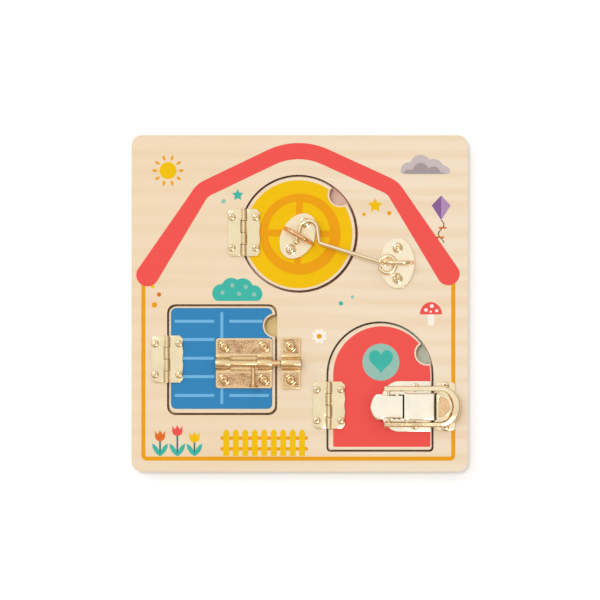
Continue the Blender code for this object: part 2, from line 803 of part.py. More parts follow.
def bolt_base():
    """The plate of the bolt, its two straps and the knob's slot."""
    right = bolt_right()
    left = right - BOLT_PLATE_LENGTH
    y = bolt_y()
    edge = rounded_box((left + right) / 2, y, BOLT_PLATE_LENGTH, BOLT_PLATE_WIDTH, BOLT_PLATE_CORNER)
    base = plate("bolt_base", [edge] + screw_holes(bolt_screw_places()), FACE + SEAT, PLATE_THICKNESS)
    inset = SINK / 2
    for name, start in (("left_strap", left + inset), ("right_strap", right - BOLT_STRAP_LENGTH - inset)):
        combine(base, strap(name, start, BOLT_STRAP_LENGTH), "UNION")
    slot_half = KNOB_SHAFT_RADIUS + KNOB_SLOT_PLAY
    slot_start = right - BOLT_STRAP_LENGTH - OVERRUN
    slot_end = knob_x() + BOLT_THROW + slot_half
    slot_width = STRAP_FOOT + OVERRUN
    slot = rounded_box((slot_start + slot_end) / 2, y - slot_width / 2, slot_end - slot_start, slot_width,
                       SINK, 1)
    cutter = plate("knob_slot", [slot], bolt_axis_z() - slot_half, 2 * slot_half)
    return finish(combine(base, cutter, "DIFFERENCE"), "brass")


def rod_tip_x():
    return keeper_left() - ROD_TIP_GAP


def bolt_rod():
    """The sliding rod, with a thinner tip that enters the keeper."""
    left = bolt_right() - BOLT_PLATE_LENGTH + ROD_BACK
    length = rod_tip_x() - left
    shoulder = length - ROD_TIP_LENGTH
    profile = [(0, length), (ROD_TIP_RADIUS - ROD_BEVEL, length), (ROD_TIP_RADIUS, length - ROD_BEVEL)]
    profile += [(ROD_TIP_RADIUS, shoulder), (ROD_RADIUS, shoulder - ROD_BEVEL)]
    profile += [(ROD_RADIUS, ROD_BEVEL), (ROD_RADIUS - ROD_BEVEL, 0), (0, 0)]
    matrix = Matrix.Translation((left, bolt_y(), bolt_axis_z())) @ Matrix.Rotation(QUARTER, 4, "Y")
    return finish(turned("bolt_rod", profile, matrix, ROD_STEPS), "brass")


def knob_x():
    return bolt_right() - KNOB_BACK


def bolt_knob():
    """The knob pin, which stands out of the rod's side and flares at its end."""
    root = ROD_RADIUS + SEAT
    profile = [(0, KNOB_REACH), (KNOB_CROWN_RADIUS, KNOB_REACH)]
    profile += [(KNOB_FLARE_RADIUS, KNOB_REACH - KNOB_CROWN_EDGE)]
    profile += [(KNOB_NECK_RADIUS, KNOB_REACH - KNOB_NECK_DROP), (KNOB_SHAFT_RADIUS, KNOB_FLARE_START)]
    profile += [(KNOB_SHAFT_RADIUS, root), (0, root)]
    matrix = Matrix.Translation((knob_x(), bolt_y(), bolt_axis_z())) @ Matrix.Rotation(QUARTER, 4, "X")
    return finish(turned("bolt_knob", profile, matrix), "brass")


def bolt_keeper():
    left = keeper_left()
    middle = left + KEEPER_LENGTH / 2
    edge = rounded_box(middle, bolt_y(), KEEPER_LENGTH, KEEPER_WIDTH, BOLT_PLATE_CORNER)
    keeper = plate("bolt_keeper", [edge] + screw_holes(keeper_screw_places()), FACE + SEAT, PLATE_THICKNESS)
    length = KEEPER_LENGTH - 2 * SINK
    return finish(combine(keeper, strap("keeper_strap", left + SINK, length), "UNION"), "brass")


# Toggle latch

def toggle_base():
    """The base plate with two ears for the lever and the box over the draw end."""
    right = toggle_right()
    left = right - TOGGLE_PLATE_LENGTH
    y = toggle_y()
    half = TOGGLE_PLATE_WIDTH / 2
    corner = TOGGLE_PLATE_CORNER
    nose_x = left + TOGGLE_PLATE_NOSE
    nose = [(nose_x + TOGGLE_PLATE_NOSE * px, y + half * py) for px, py in
            arc(0, 0, 1, QUARTER, 3 * QUARTER, PANEL_STEPS // 4)]
    edge = arc(right - corner, y - half + corner, corner, -QUARTER, 0, CORNER_STEPS)
    edge += arc(right - corner, y + half - corner, corner, 0, QUARTER, CORNER_STEPS) + nose
    base = plate("toggle_base", [edge] + screw_holes(toggle_screw_places()), FACE + SEAT, PLATE_THICKNESS)

    box_right = right + BOX_OVERHANG
    box_left = box_right - BOX_LENGTH
    floor = PLATE_TOP - SINK
    top = FACE + BOX_HEIGHT
    side = [(0, 0), (BOX_LENGTH, 0), (BOX_LENGTH, top - floor), (0, top - floor)]
    side = [(x + box_left, z + floor) for x, z in side]
    box = flat_solid("box", [side], (0, y, 0), BOX_WIDTH, "XZ")
    hollow_left = box_left - OVERRUN
    hollow_right = right - SINK
    hollow = [(hollow_left, PLATE_TOP), (hollow_right, PLATE_TOP), (hollow_right, top - BOX_WALL),
              (hollow_left, top - BOX_WALL)]
    inside = flat_solid("box_inside", [hollow], (0, y, 0), BOX_WIDTH - 2 * BOX_WALL, "XZ")
    combine(base, box, "UNION")
    combine(base, inside, "DIFFERENCE")

    pivot = lever_pivot()
    ear = [(pivot.x - EAR_HALF_LENGTH, floor), (pivot.x + EAR_HALF_LENGTH, floor)]
    ear += arc(pivot.x, pivot.z, EAR_HALF_LENGTH, 0, math.pi, SMALL_STEPS)
    hole = circle(pivot.x, pivot.z, LEVER_PIN_RADIUS + HOLE_PLAY)
    offset = LEVER_WIDTH / 2 + EAR_GAP + EAR_THICKNESS / 2
    for number, place in enumerate((y + offset, y - offset), 1):
        combine(base, flat_solid(f"ear_{number}", [ear, hole], (0, place, 0), EAR_THICKNESS, "XZ"), "UNION")
    return finish(base, "pale_brass")


def toggle_lever():
    """The lever: a rounded finger tip, a flat top and two flanges with the pivot holes."""
    pivot = lever_pivot()
    y = pivot.y
    half = LEVER_WIDTH / 2
    tip_half = LEVER_TIP_WIDTH / 2
    tip_x = pivot.x - LEVER_TIP_REACH
    waist_x = pivot.x - LEVER_WAIST_REACH
    back = pivot.x + LEVER_BACK
    tip = [(tip_x + LEVER_TIP_DEPTH * (1 + px), y + tip_half * py) for px, py in
           arc(0, 0, 1, QUARTER, 3 * QUARTER, PANEL_STEPS // 4)]
    edge = [(back, y + half), (waist_x, y + half)] + tip + [(waist_x, y - half), (back, y - half)]
    low = pivot.z + LEVER_RISE
    lever = plate("toggle_lever", [edge], low, LEVER_THICKNESS)
    hinge_point = bail_pivot()
    depth = FLANGE_HALF_HEIGHT
    flange = [(back - SINK, low + SINK), (pivot.x - FLANGE_REACH, low + SINK)]
    flange += arc(hinge_point.x, hinge_point.z, depth, math.pi, 3 * QUARTER, CORNER_STEPS)
    flange += arc(pivot.x, pivot.z, depth, 3 * QUARTER, math.tau, CORNER_STEPS) + [(back - SINK, pivot.z)]
    holes = [circle(pivot.x, pivot.z, LEVER_PIN_RADIUS + HOLE_PLAY)]
    holes.append(circle(hinge_point.x, hinge_point.z, BAIL_STUB_RADIUS + HOLE_PLAY))
    offset = half - FLANGE_THICKNESS / 2 - FLANGE_INSET
    for number, place in enumerate((y + offset, y - offset), 1):
        side = flat_solid(f"flange_{number}", [flange] + holes, (0, place, 0), FLANGE_THICKNESS, "XZ")
        combine(lever, side, "UNION")
    return finish(lever, "pale_brass")


def lever_pin():
    reach = LEVER_WIDTH / 2 + EAR_GAP + EAR_THICKNESS + SEAT
    return finish(crossbar("toggle_lever_pin", LEVER_PIN_RADIUS, lever_pivot(), 2 * reach), "pale_brass")


def boss_x():
    return catch_left() + BOSS_START + BOSS_STRAIGHT


def toggle_bail():
    """The flat loop: two arms, a wide round end past the catch and two stubs in the lever."""
    pivot = bail_pivot()
    y = pivot.y
    outer = BAIL_OUTER_HALF
    inner = outer - BAIL_ARM_WIDTH
    end_inner = boss_x() + BOSS_RADIUS + BAIL_CATCH_GAP
    bend = end_inner + BAIL_END_WIDTH - outer
    tail = pivot.x - BAIL_TAIL
    steps = PANEL_STEPS // 3
    edge = [(tail, y - outer)] + arc(bend, y, outer, -QUARTER, QUARTER, steps) + [(tail, y + outer)]
    depth = end_inner - bend
    inside = [(bend + depth * px, y + inner * py) for px, py in arc(0, 0, 1, QUARTER, -QUARTER, steps)]
    edge += [(tail, y + inner)] + inside + [(tail, y - inner)]
    bail = plate("toggle_bail", [edge], pivot.z - BAIL_THICKNESS / 2, BAIL_THICKNESS)
    lever_inside = LEVER_WIDTH / 2 - FLANGE_THICKNESS - BAIL_STUB_INSIDE
    stub_length = inner + SINK - lever_inside
    for number, side in enumerate((1, -1), 1):
        middle = (pivot.x, y + side * (lever_inside + stub_length / 2), pivot.z)
        combine(bail, crossbar(f"stub_{number}", BAIL_STUB_RADIUS, middle, stub_length), "UNION")
    return finish(bail, "pale_brass")


def catch_plate():
    """The catch: a small plate with a raised D over which the loop drops."""
    left = catch_left()
    y = toggle_y()
    edge = rounded_box(left + CATCH_LENGTH / 2, y, CATCH_LENGTH, CATCH_WIDTH, CATCH_CORNER)
    catch = plate("catch_plate", [edge] + screw_holes(catch_screw_places()), FACE + SEAT, PLATE_THICKNESS)
    floor = PLATE_TOP - SINK
    top = FACE + BOSS_HEIGHT
    combine(catch, plate("boss", [d_outline(0)], floor, top - floor), "UNION")
    recess = plate("boss_recess", [d_outline(BOSS_RIM)], top - BOSS_RECESS, BOSS_RECESS + OVERRUN)
    return finish(combine(catch, recess, "DIFFERENCE"), "pale_brass")


def d_outline(inset):
    x = boss_x()
    y = toggle_y()
    radius = BOSS_RADIUS - inset
    flat = x - BOSS_STRAIGHT + inset
    return arc(x, y, radius, -QUARTER, QUARTER, SMALL_STEPS) + [(flat, y + radius), (flat, y - radius)]


# Assembly

def clear_scene():
    for obj in list(bpy.data.objects):
        bpy.data.objects.remove(obj)
    for group in ("latch_board", "latch_board_tools"):
        bpy.context.scene.collection.children.link(bpy.data.collections.new(group))


def build():
    clear_scene()
    small = screw_shape(HINGE_HEAD_RADIUS)
    large = screw_shape(PLATE_HEAD_RADIUS)
    seat = PLATE_TOP + SEAT

    on_board = back_panel() + front_panel()
    on_board += hook_frame_plate(large)
    on_board += [bolt_keeper()] + screws("keeper_screw", large, keeper_screw_places(), seat, "brass")
    on_board += [catch_plate()] + screws("catch_screw", large, catch_screw_places(), seat, "pale_brass")

    on_door = {"yellow": [yellow_door()], "blue": [blue_door()], "red": [red_door()]}
    on_door["yellow"] += hook_door_plate(large)
    on_door["blue"] += [bolt_base()] + screws("bolt_screw", large, bolt_screw_places(), seat, "brass")
    on_door["red"] += [toggle_base(), lever_pin()]
    on_door["red"] += screws("toggle_screw", large, toggle_screw_places(), seat, "pale_brass")

    axes = {}
    for colour, (x, y) in hinge_lines().items():
        frame_pieces, door_pieces = hinge(colour, small)
        on_board += frame_pieces
        on_door[colour] += door_pieces
        axes[colour] = joint_axis(colour + "_door_axis", (x, y, HINGE_AXIS_Z))
        carry(axes[colour], on_door[colour])
    carry(joint_axis("board_origin", (0, 0, 0)), on_board)

    carry(joint_axis("hook_axis", hook_pivot()), [hook()])
    slide = joint_axis("bolt_slide_axis", (rod_tip_x(), bolt_y(), bolt_axis_z()), axes["blue"])
    carry(slide, [bolt_rod()])
    carry(joint_axis("bolt_knob_axis", (knob_x(), bolt_y(), bolt_axis_z()), slide), [bolt_knob()])
    lever = joint_axis("toggle_lever_axis", lever_pivot(), axes["red"])
    carry(lever, [toggle_lever()])
    carry(joint_axis("toggle_bail_axis", bail_pivot(), lever), [toggle_bail()])
    for shape in (small, large):
        bpy.data.meshes.remove(shape)


build()
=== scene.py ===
"""Latch board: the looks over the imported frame.

Metres, in the frame's own axes: +Z out of the face, +Y towards the board's top edge. Wooden
pieces are the frame's own solids with rounded edges; prints, pictures and finer hardware are
made here and ride on the frame's bodies.
"""
import json
import math

import bmesh
import bpy
from mathutils import Matrix, Vector


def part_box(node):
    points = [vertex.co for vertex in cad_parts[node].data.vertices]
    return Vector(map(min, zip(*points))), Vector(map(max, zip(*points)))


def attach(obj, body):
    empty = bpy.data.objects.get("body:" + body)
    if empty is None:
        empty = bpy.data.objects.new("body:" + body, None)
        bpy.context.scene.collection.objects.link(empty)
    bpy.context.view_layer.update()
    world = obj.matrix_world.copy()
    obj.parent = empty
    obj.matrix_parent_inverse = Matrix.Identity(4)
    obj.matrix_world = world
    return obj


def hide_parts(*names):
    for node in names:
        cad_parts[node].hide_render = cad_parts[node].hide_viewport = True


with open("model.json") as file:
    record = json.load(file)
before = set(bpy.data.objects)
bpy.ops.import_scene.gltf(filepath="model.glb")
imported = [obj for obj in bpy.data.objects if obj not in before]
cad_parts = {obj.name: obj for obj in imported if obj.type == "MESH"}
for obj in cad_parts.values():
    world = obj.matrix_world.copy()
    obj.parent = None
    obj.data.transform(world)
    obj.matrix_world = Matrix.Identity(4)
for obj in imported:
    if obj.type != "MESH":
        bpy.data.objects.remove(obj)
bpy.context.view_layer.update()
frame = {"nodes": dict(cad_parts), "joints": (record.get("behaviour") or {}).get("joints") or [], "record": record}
NODES = frame["nodes"]
JOINTS = {joint["name"]: joint for joint in frame["joints"]}
BODY_OF = {
    node: body
    for body, members in frame["record"]["behaviour"]["bodies"].items()
    for node in members}
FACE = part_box("front_panel")[1].z
BACK_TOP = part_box("back_panel")[1].z
QUARTER = math.pi / 2

# Colours as they look, red, green and blue out of 255
FULL = 255
PALETTE = {
    "wood_light": (238, 221, 194),
    "wood_dark": (234, 214, 182),
    "wood_pale": (241, 227, 206),
    "ply_dark": (186, 150, 108),
    "burnt": (186, 126, 100),
    "burnt_pale": (212, 158, 130),
    # Partly scorch, partly painted shade of the round door's gap
    "scorch": (152, 92, 76),
    "red": (240, 87, 83),
    "yellow": (241, 196, 0),
    "orange": (236, 163, 10),
    "deep_orange": (226, 112, 40),
    "blue": (52, 135, 194),
    "light_blue": (114, 186, 234),
    "teal": (64, 186, 174),
    "light_teal": (150, 197, 188),
    "dark_teal": (38, 120, 124),
    "purple": (138, 97, 155),
    "pale_purple": (176, 143, 190),
    "grey": (166, 156, 162),
    "pale_grey": (198, 190, 194),
    "brown": (92, 56, 46),
    "white": (250, 247, 240),
    "pink": (255, 224, 206),
    "olive": (252, 240, 170),
    "sage": (220, 236, 214),
    "cream_brass": (255, 247, 226),
    "pale_brass": (250, 233, 198),
    "plate_brass": (240, 222, 184),
    "rolled_brass": (244, 227, 188),
    "warm_brass": (255, 240, 210),
    "satin_brass": (240, 209, 160),
    "mottled_brass": (240, 204, 160),
    "mottled_dark": (152, 110, 76),
    "recess_brass": (206, 176, 136),
    "copper": (244, 196, 146),
}

# Meshes
MERGE = 0.000001
WELD = 0.00001
FOLD = math.radians(40)
WOOD_FOLD = math.radians(50)
WOOD_EDGES = {
    "front_panel": 0.0005, "back_panel": 0.0005,
    "yellow_door": 0.0003, "blue_door": 0.0003, "red_door": 0.0003}
PLY_EDGE = 0.002

# Steps round curves
ROUND_STEPS = 96
RING_STEPS = 64
TURNED_STEPS = 40
BOW_STEPS = 32
DOT_STEPS = 24
EAR_STEPS = 20
NOSE_STEPS = 16
ARC_STEPS = 12
LENS_STEPS = 10
FLANGE_STEPS = 8
CORNER_STEPS = 6
FLARE_STEPS = 4
END_STEPS = 3

# Noise: stretch along the axes, scale, detail, roughness, distortion
BROAD_GRAIN = ((7, 60, 60), 1.0, 4.0, 0.55, 0.3)
FINE_GRAIN = ((30, 800, 800), 1.0, 3.0, 0.6)
CHAR = ((300, 300, 120), 1.0, 3.0)
METAL_CLOUDS = ((1, 1, 1), 120.0, 3.0)
METAL_SPECKS = ((1, 1, 1), 900.0, 2.0)
BLAST_CLOUDS = ((1, 1, 1), 160.0, 3.0)
BLAST_GRAINS = ((1, 1, 1), 1200.0, 2.0, 0.6)

# Bands: direction, stretch along the axes, distortion, detail, scale and roughness of the detail
YEAR_RINGS = ("Y", (1.6, 26, 26), 7.0, 3.0, 1.2, 0.6)
PLY_LAYERS = ("Z", (1, 1, 180), 0.6, 2.0)

# Ramps: positions, each with a grey level or a palette name
PALER_HALF = ((0.1, 0), (1.0, 1))
GRAIN_TONES = ((0.28, 0), (0.58, 1))
FLAT_FACES = ((0.55, 0), (0.68, 1))
WOOD_GLOSS = ((0.2, 0.62), (0.7, 0.52))
PLY_TONES = ((0.35, "ply_dark"), (0.65, "wood_light"))
BURNT_TONES = ((0.3, "burnt"), (0.75, "burnt_pale"))
INK_TONES = ((0.2, 0.97), (0.75, 1.0))
INK_GLOSS = ((0.2, 0.6), (0.8, 0.5))
METAL_TONES = ((0.3, 0.93), (0.7, 1.0))
GLOSS_STOPS = (0.3, 0.7)
BLAST_STOPS = (0.38, 0.60)

# Other looks: shares of patterns, bumps as strength and height, specular levels
GRAIN_SHARES = (0.3, 0.5, 0.2)
METAL_SHARES = (0.7, 0.3)
BLAST_SHARES = (0.6, 0.4)
INNER_WALL_SHARE = 0.3
WOOD_BUMP = (0.06, 0.0003)
INK_BUMP = (0.08, 0.0002)
BLAST_BUMP = (0.25, 0.0001)
METAL_BUMP_HEIGHT = 0.0004
WOOD_SPECULAR = 0.15
INK_SPECULAR = 0.12

# Prints and their layers
INK = 0.00003
INK_STEP = 0.00003
SAME_POINT = 0.000003

# Roof band and wall line
ROOF_POINTS = (
    (-0.0995, 0.0185), (-0.0636, 0.0740), (-0.0011, 0.1039), (0.0608, 0.0756), (0.0972, 0.0192))
ROOF_BENDS = (0.014, 0.042, 0.014)
ROOF_BAND = 0.0053
ROOF_FOOT = 0.0074
WALL_LEFT = -0.1022
WALL_RIGHT = 0.1004
WALL_TOP = 0.0140
WALL_BOTTOM = -0.1015
WALL_LINE = 0.0026
WALL_BEND = 0.0022

# Door prints
RIM = 0.0019
NOTCH_RIM = 0.0011
NOTCH_RADIUS = 0.007
NOTCH_ANGLES = {"yellow": math.radians(43), "red": math.radians(25)}
DISC_DROP = 0.0004
WHEEL_RING = ((0.0010, -0.0003, 0.0265), (0.00035, 0.0005, 0.0203))
BAR_WIDTH = 0.0043
UPRIGHT_BAR = ((0.0008, 0.0230), (-0.0007, -0.0225))
LEVEL_BAR = ((-0.0232, 0.0006), (0.0234, -0.0002))
BLUE_RIMS = (0.0012, 0.0019, 0.0027, 0.0011)
RED_SHIFT = 0.0012
BLUE_CORNER = 0.0033
PLANK_LINE = 0.0019
PLANK_END_SHARE = 0.6
PLANK_MIDDLE_X = -0.0509
PLANK_MIDDLE_Y = (-0.0659, -0.0057)
PLANK_LEFT = (-0.0818, -0.0558)
PLANK_RIGHT = (-0.0461, -0.0201)
PLANK_RIGHT_SHORT = (-0.0461, -0.0241)
PLANK_ROWS = (-0.0117, -0.0236, -0.0359, -0.0479, -0.0602)
PLANK_SHORT_ROWS = 2
HEART_DISC = 0.0121
HEART_SIZE = 0.0158
HEART_PLACE = (0.0531, -0.0384)
HEART_WIDE = 32
HEART_TALL = 29
HEART_DROP = 2.5
BLUE_NOTCH_Y = -0.0146
DOORWAY_SPARE = 0.0011
# A brown crescent right of the round hole: partly scorch, partly painted shade of the gap
CRESCENT_START = 0.0007
CRESCENT_WIDTH = 0.0006
CRESCENT_SHIFT = (0.0004, -0.0002, 0)

# Stage
FLOOR_HALF = 30.0
FLOOR_LIFT = 0.195
FLOOR_GLOW = (0.76, 0.87, 1.0, 1)
FLOOR_SHADE = (0.94, 0.97, 1.0, 1)
FLOOR_ROUGHNESS = 0.9
FLOOR_DROP = 0.0001

# Lamps: place, size, power
KEY_LAMP = ((-0.26, 0.26, 1.8), 0.30, 8.2)
GLINT_LAMP = ((-0.75, 0.75, 1.6), 0.35, 2.0)
SPARKLE_LAMP = ((0.55, -0.75, 1.5), 0.45, 4.5)

# Sky: its bright pole, then linear colours from below to the pole
SKY_TOP = (-0.25, 0.42, 0.872)
SKY = (
    (0.0, (0.54, 0.40, 0.27)), (0.22, (0.36, 0.22, 0.12)), (0.48, (0.52, 0.40, 0.27)),
    (0.66, (0.84, 0.80, 0.74)), (0.80, (0.99, 0.99, 0.99)))

# Camera
CAMERA_PLACE = (0.0002, 0.0022, 1.312)
CAMERA_LENS = 119.3
CAMERA_NEAR = 0.01

# Gap between metal plates and the wood, also used as a small overlap
SEAT = 0.0003

# Screws
HEAD_HEIGHT = 0.0012
HEAD_RIM = 0.0003
SHANK_RADIUS = 0.0012
SHANK_LENGTH = 0.0065
SHANK_POINT = 0.0018
RECESS_REACH = 0.0018
RECESS_WIDTH = 0.0011
RECESS_TIP = 0.0007
RECESS_DEPTH = 0.0010
RECESS_FLOOR_SHARE = 0.2
RECESS_ARMS = 4
SCREW_TURN = math.radians(20)
SCREW_SCATTER = 23.0
SEAT_INNER = 0.0029
SEAT_OUTER = 0.0037
SEAT_RISE = 0.0003
SEAT_EDGE = 0.00015

# Butt hinges
KNUCKLES = 4
WAVES = 3
LEAF_WIDTH = 0.0106
LEAF_THICKNESS = 0.0008
LEAF_CHAMFER = 0.0024
LEAF_WAVE = 0.00045
LEAF_SETBACK = 0.0021
LEAF_TAB_REACH = 0.0005
LEAF_EDGE = 0.0003
KNUCKLE_RADIUS = 0.0017
KNUCKLE_BORE = 0.001
KNUCKLE_GAP = 0.0003
PIN_RADIUS = 0.0007
PIN_PROUD = 0.0003

# Hook, plates and staples
HOOK_PLATE_LONG = 0.0334
HOOK_PLATE_SHORT = 0.0229
DOOR_PLATE_SHARE = 0.95
INLAY_INSET = 0.0008
PLATE_EDGE = 0.00042
STAPLE_WIRE = 0.0015
STAPLE_FOOT = 0.0009
FRAME_STAPLE_SPAN = 0.0188
FRAME_STAPLE_BEND = 0.0066
DOOR_PLATE_TILT = math.radians(-29)
DOOR_STAPLE_SPAN = 0.019
DOOR_STAPLE_BEND = 0.007
HOOK_WIRE = 0.0014
TIP_RADIUS = 0.002
RING_RADIUS = 0.0055
RING_BACK = 0.0068
RING_DROP = 0.0012
RING_HEIGHT = 0.0096
NOSE_HEIGHT = 0.0046
SHANK_FALL_LENGTH = 0.052
SHANK_START = 0.0079
KINK_BEND = 0.002
NOSE_BEND = 0.0052
HOOK_CORNER_SHARES = ((0.747, 0.133), (0.304, 0.755), (-0.133, 0.503), (0.042, -0.208))

# Barrel bolt and keeper
BOLT_PLATE_THICKNESS = 0.001
BOLT_PLATE_CORNER = 0.0016
FIELD_START = 0.0063
FIELD_INSET = 0.0011
BOLT_STRAP_LENGTH = 0.0094
BEAD_OUT = 0.0047
BEAD_RADIUS = 0.0006
BOLT_THROW = 0.0055
STRAP_OUTER = 0.0037
STRAP_INNER = 0.003
STRAP_FOOT = 0.0049
STRAP_FOOT_HEIGHT = 0.0012
STRAP_EDGE = 0.00015
STRAP_REACH = 0.0075
ROD_TIP = 0.002
ROD_TIP_LENGTH = 0.0076
ROD_BEVEL = 0.0004
KNOB_SHAFT = 0.0013
KNOB_PLAY = 0.0004
KNOB_FLARE = 0.0032
KNOB_FLARE_LENGTH = 0.004
KNOB_DISH = 0.0006
KNOB_LIP = 0.0003

# Toggle latch and catch
PLATE_AHEAD = 0.0225
PLATE_NOSE = 0.0125
PLATE_CORNER = 0.0015
BOX_LENGTH = 0.0182
BOX_HALF = 0.00885
BOX_WALL = 0.001
BOX_END = 0.0015
BOX_CORNER = 0.0012
RIM_LENGTH = 0.0026
RIM_PROUD = 0.0003
RIM_AHEAD = 0.0009
RIM_ROUND = 0.0006
LEVER_SHORT = 0.0007
EAR_HALF = 0.0024
WINDOW_BACK = 0.0062
WINDOW_AHEAD = 0.0030
EAR_GAP = 0.0004
EAR_THICKNESS = 0.0006
LEVER_HALF = 0.0073
LEVER_THICKNESS = 0.0009
TIP_DEPTH = 0.0057
WAIST_RUN = 0.0042
TIP_DIP = 0.0009
TIP_DIP_RUN = 0.007
TIP_BLUNT = 0.0004
LEVER_CROWDING = 1.6
EDGE_POWER = 8
EDGE_FALL = 0.00045
EDGE_INSET = 0.97
FLANGE_THICKNESS = 0.0008
FLANGE_REACH = 0.0078
FLANGE_HALF = 0.0021
FLANGE_INSET = 0.00005
STUB_RADIUS = 0.0008
BAIL_ARM = 0.0033
BAIL_END = 0.0054
BAIL_SHARES = (
    (0.0, 0.3), (0.02, 0.66), (0.08, 0.9), (0.17, 1.0), (0.27, 0.98), (0.35, 0.93), (0.5, 0.88),
    (0.66, 0.83), (0.8, 0.75), (0.9, 0.62), (0.97, 0.42), (1.0, 0.14), (0.96, 0.0), (0.04, 0.0))
CATCH_CORNER = 0.0025
BOSS_START = 0.0013
BOSS_STRAIGHT = 0.0013
BOSS_BACK = 0.0022
BOSS_RADIUS = 0.0081
BOSS_RIM = 0.0011
BOSS_RECESS = 0.002
BOSS_EDGE = 0.00035
LEDGE_HALF = 0.0088

# Pictures on the board
SUN_PLACE = (-0.0861, 0.0868)
SUN_RADIUS = 0.0056
SUN_GAP = 0.0012
SUN_RAY = 0.0036
SUN_RAY_WIDTH = 0.0018
SUN_RAYS = 10
CLOUD_PLACE = (0.0820, 0.0846)
CLOUD_SIZE = 0.0160
CLOUD_EYE_SHARE = 0.2
CLOUD_INNER_SHARE = 0.72
CLOUD_SHARES = ((-0.66, 0.14, 0.34), (-0.18, 0.34, 0.44), (0.34, 0.22, 0.40), (0.76, 0.08, 0.26))
KITE_PLACE = (0.0925, 0.0640)
KITE_TOP = 0.0066
KITE_BOTTOM = 0.0096
KITE_HALF = 0.0062
KITE_TAIL = 0.0150
KITE_SWAY = 0.0018
KITE_TURNS = 1.25
KITE_BOW = 0.0028
KITE_BOW_SHARES = (0.35, 0.75)
TAIL_LINE = 0.0006
BUSH_PLACE = (-0.0392, 0.0060)
BUSH_BASE = 0.0016
BUSH_LOBES = (
    (-0.0512, 0.0066, 0.0060), (-0.0448, 0.0105, 0.0062), (-0.0372, 0.0098, 0.0066),
    (-0.0300, 0.0062, 0.0056), (-0.0400, 0.0050, 0.0090))
BUSH_BERRIES = (
    (-0.0505, 0.0070), (-0.0440, 0.0118), (-0.0396, 0.0062), (-0.0352, 0.0108), (-0.0298, 0.0058))
BERRY_RADIUS = 0.0014
TULIPS = {(-0.0913, 0.0130): "deep_orange", (-0.0800, 0.0164): "red", (-0.0688, 0.0122): "yellow"}
TULIP_BASE = -0.0998
TULIP_HEAD = 0.0066
TULIP_PEAK_SHARE = 1.1
TULIP_LEAF = 0.0096
TULIP_LEAF_WIDTH = 0.0030
LEAF_LEAN = math.radians(32)
STEM = 0.0011
FENCE_LEFT = -0.0480
FENCE_BASE = -0.0998
PICKETS = 9
PICKET_PITCH = 0.0062
PICKET_WIDTH = 0.0038
PICKET_HEIGHT = 0.0158
RAIL_HEIGHTS = (0.0036, 0.0106)
RAIL_WIDTH = 0.0022
TOADSTOOL_PLACE = (0.0858, -0.0072)
CAP_HALF = 0.0072
CAP_HEIGHT = 0.0080
CAP_DOT_SHARES = ((-0.45, 0.36, 0.16), (0.08, 0.68, 0.17), (0.52, 0.3, 0.14), (-0.02, 0.22, 0.1))
STALK_HALF = 0.0021
STALK_HEIGHT = 0.0074
DAISY_PLACE = (0.0128, -0.0215)
DAISY_RADIUS = 0.0050
DAISY_PETALS = 8
STAR_POINTS = 5
STARS = {(0.0493, 0.0640, 0.0050): "yellow", (-0.0405, 0.0708, 0.0040): "teal"}
DOTS = {
    (0.0585, 0.0590, 0.0014): "orange", (0.0420, 0.0582, 0.0011): "orange",
    (-0.0498, 0.0668, 0.0015): "light_teal", (-0.0950, -0.0010, 0.0018): "orange",
    (-0.0920, 0.0058, 0.0014): "deep_orange", (-0.0962, 0.0110, 0.0012): "yellow",
    (0.0270, 0.0000, 0.0014): "teal", (0.0345, 0.0042, 0.0011): "light_teal",
    (0.0140, -0.0800, 0.0013): "teal"}
PICTURE_SHARE = 0.62
PICTURE_PETALS = 10


# Outlines

def polar(x, y, radius, angle):
    """The point at a distance and an angle from (x, y)."""
    return x + radius * math.cos(angle), y + radius * math.sin(angle)


def arc(x, y, radius, start, end, steps=ARC_STEPS):
    sweep = end - start
    return [polar(x, y, radius, start + sweep * step / steps) for step in range(steps + 1)]


def circle(x, y, radius, steps=ROUND_STEPS // 2):
    start = math.pi / steps
    return arc(x, y, radius, start, start + math.tau, steps)[:-1]


def mirrored(points, across=-1, up=1):
    """The points in reverse order, mirrored."""
    return [(across * x, up * y) for x, y in reversed(points)]


def turned(points, angle, x=0, y=0):
    """The points turned about the origin and moved to (x, y)."""
    spots = [Matrix.Rotation(angle, 2) @ Vector(point) for point in points]
    return [(x + spot.x, y + spot.y) for spot in spots]


def span_box(left, right, low, high, corner):
    """A box with rounded corners."""
    middles = ((right - corner, high - corner), (left + corner, high - corner),
               (left + corner, low + corner), (right - corner, low + corner))
    points = []
    for turn, middle in enumerate(middles):
        points += arc(*middle, corner, turn * QUARTER, turn * QUARTER + QUARTER, CORNER_STEPS)
    return points


def plan_of(node):
    """The middle of a node's box in plan, and half its width."""
    low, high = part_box(node)
    return (low.x + high.x) / 2, (low.y + high.y) / 2, (high.x - low.x) / 2


def box_outline(node, corner, spare=0):
    """The rounded outline of a node's box in plan, made larger by spare."""
    low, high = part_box(node)
    return span_box(low.x - spare, high.x + spare, low.y - spare, high.y + spare, corner)


def filleted(points, radii, steps=ARC_STEPS):
    """An open path through points in 2D with rounded corners."""
    path = [Vector(points[0])]
    for before, corner, after, radius in zip(points, points[1:], points[2:], radii):
        back = (Vector(before) - Vector(corner)).normalized()
        ahead = (Vector(after) - Vector(corner)).normalized()
        half_angle = back.angle(ahead) / 2
        centre = Vector(corner) + (back + ahead).normalized() * radius / math.sin(half_angle)
        first = Vector(corner) + back * radius / math.tan(half_angle)
        last = Vector(corner) + ahead * radius / math.tan(half_angle)
        start = math.atan2(first.y - centre.y, first.x - centre.x)
        sweep = math.atan2(last.y - centre.y, last.x - centre.x) - start
        sweep = (sweep + math.pi) % math.tau - math.pi
        path += [Vector(point) for point in arc(centre.x, centre.y, radius, start, start + sweep, steps)]
    return path + [Vector(points[-1])]


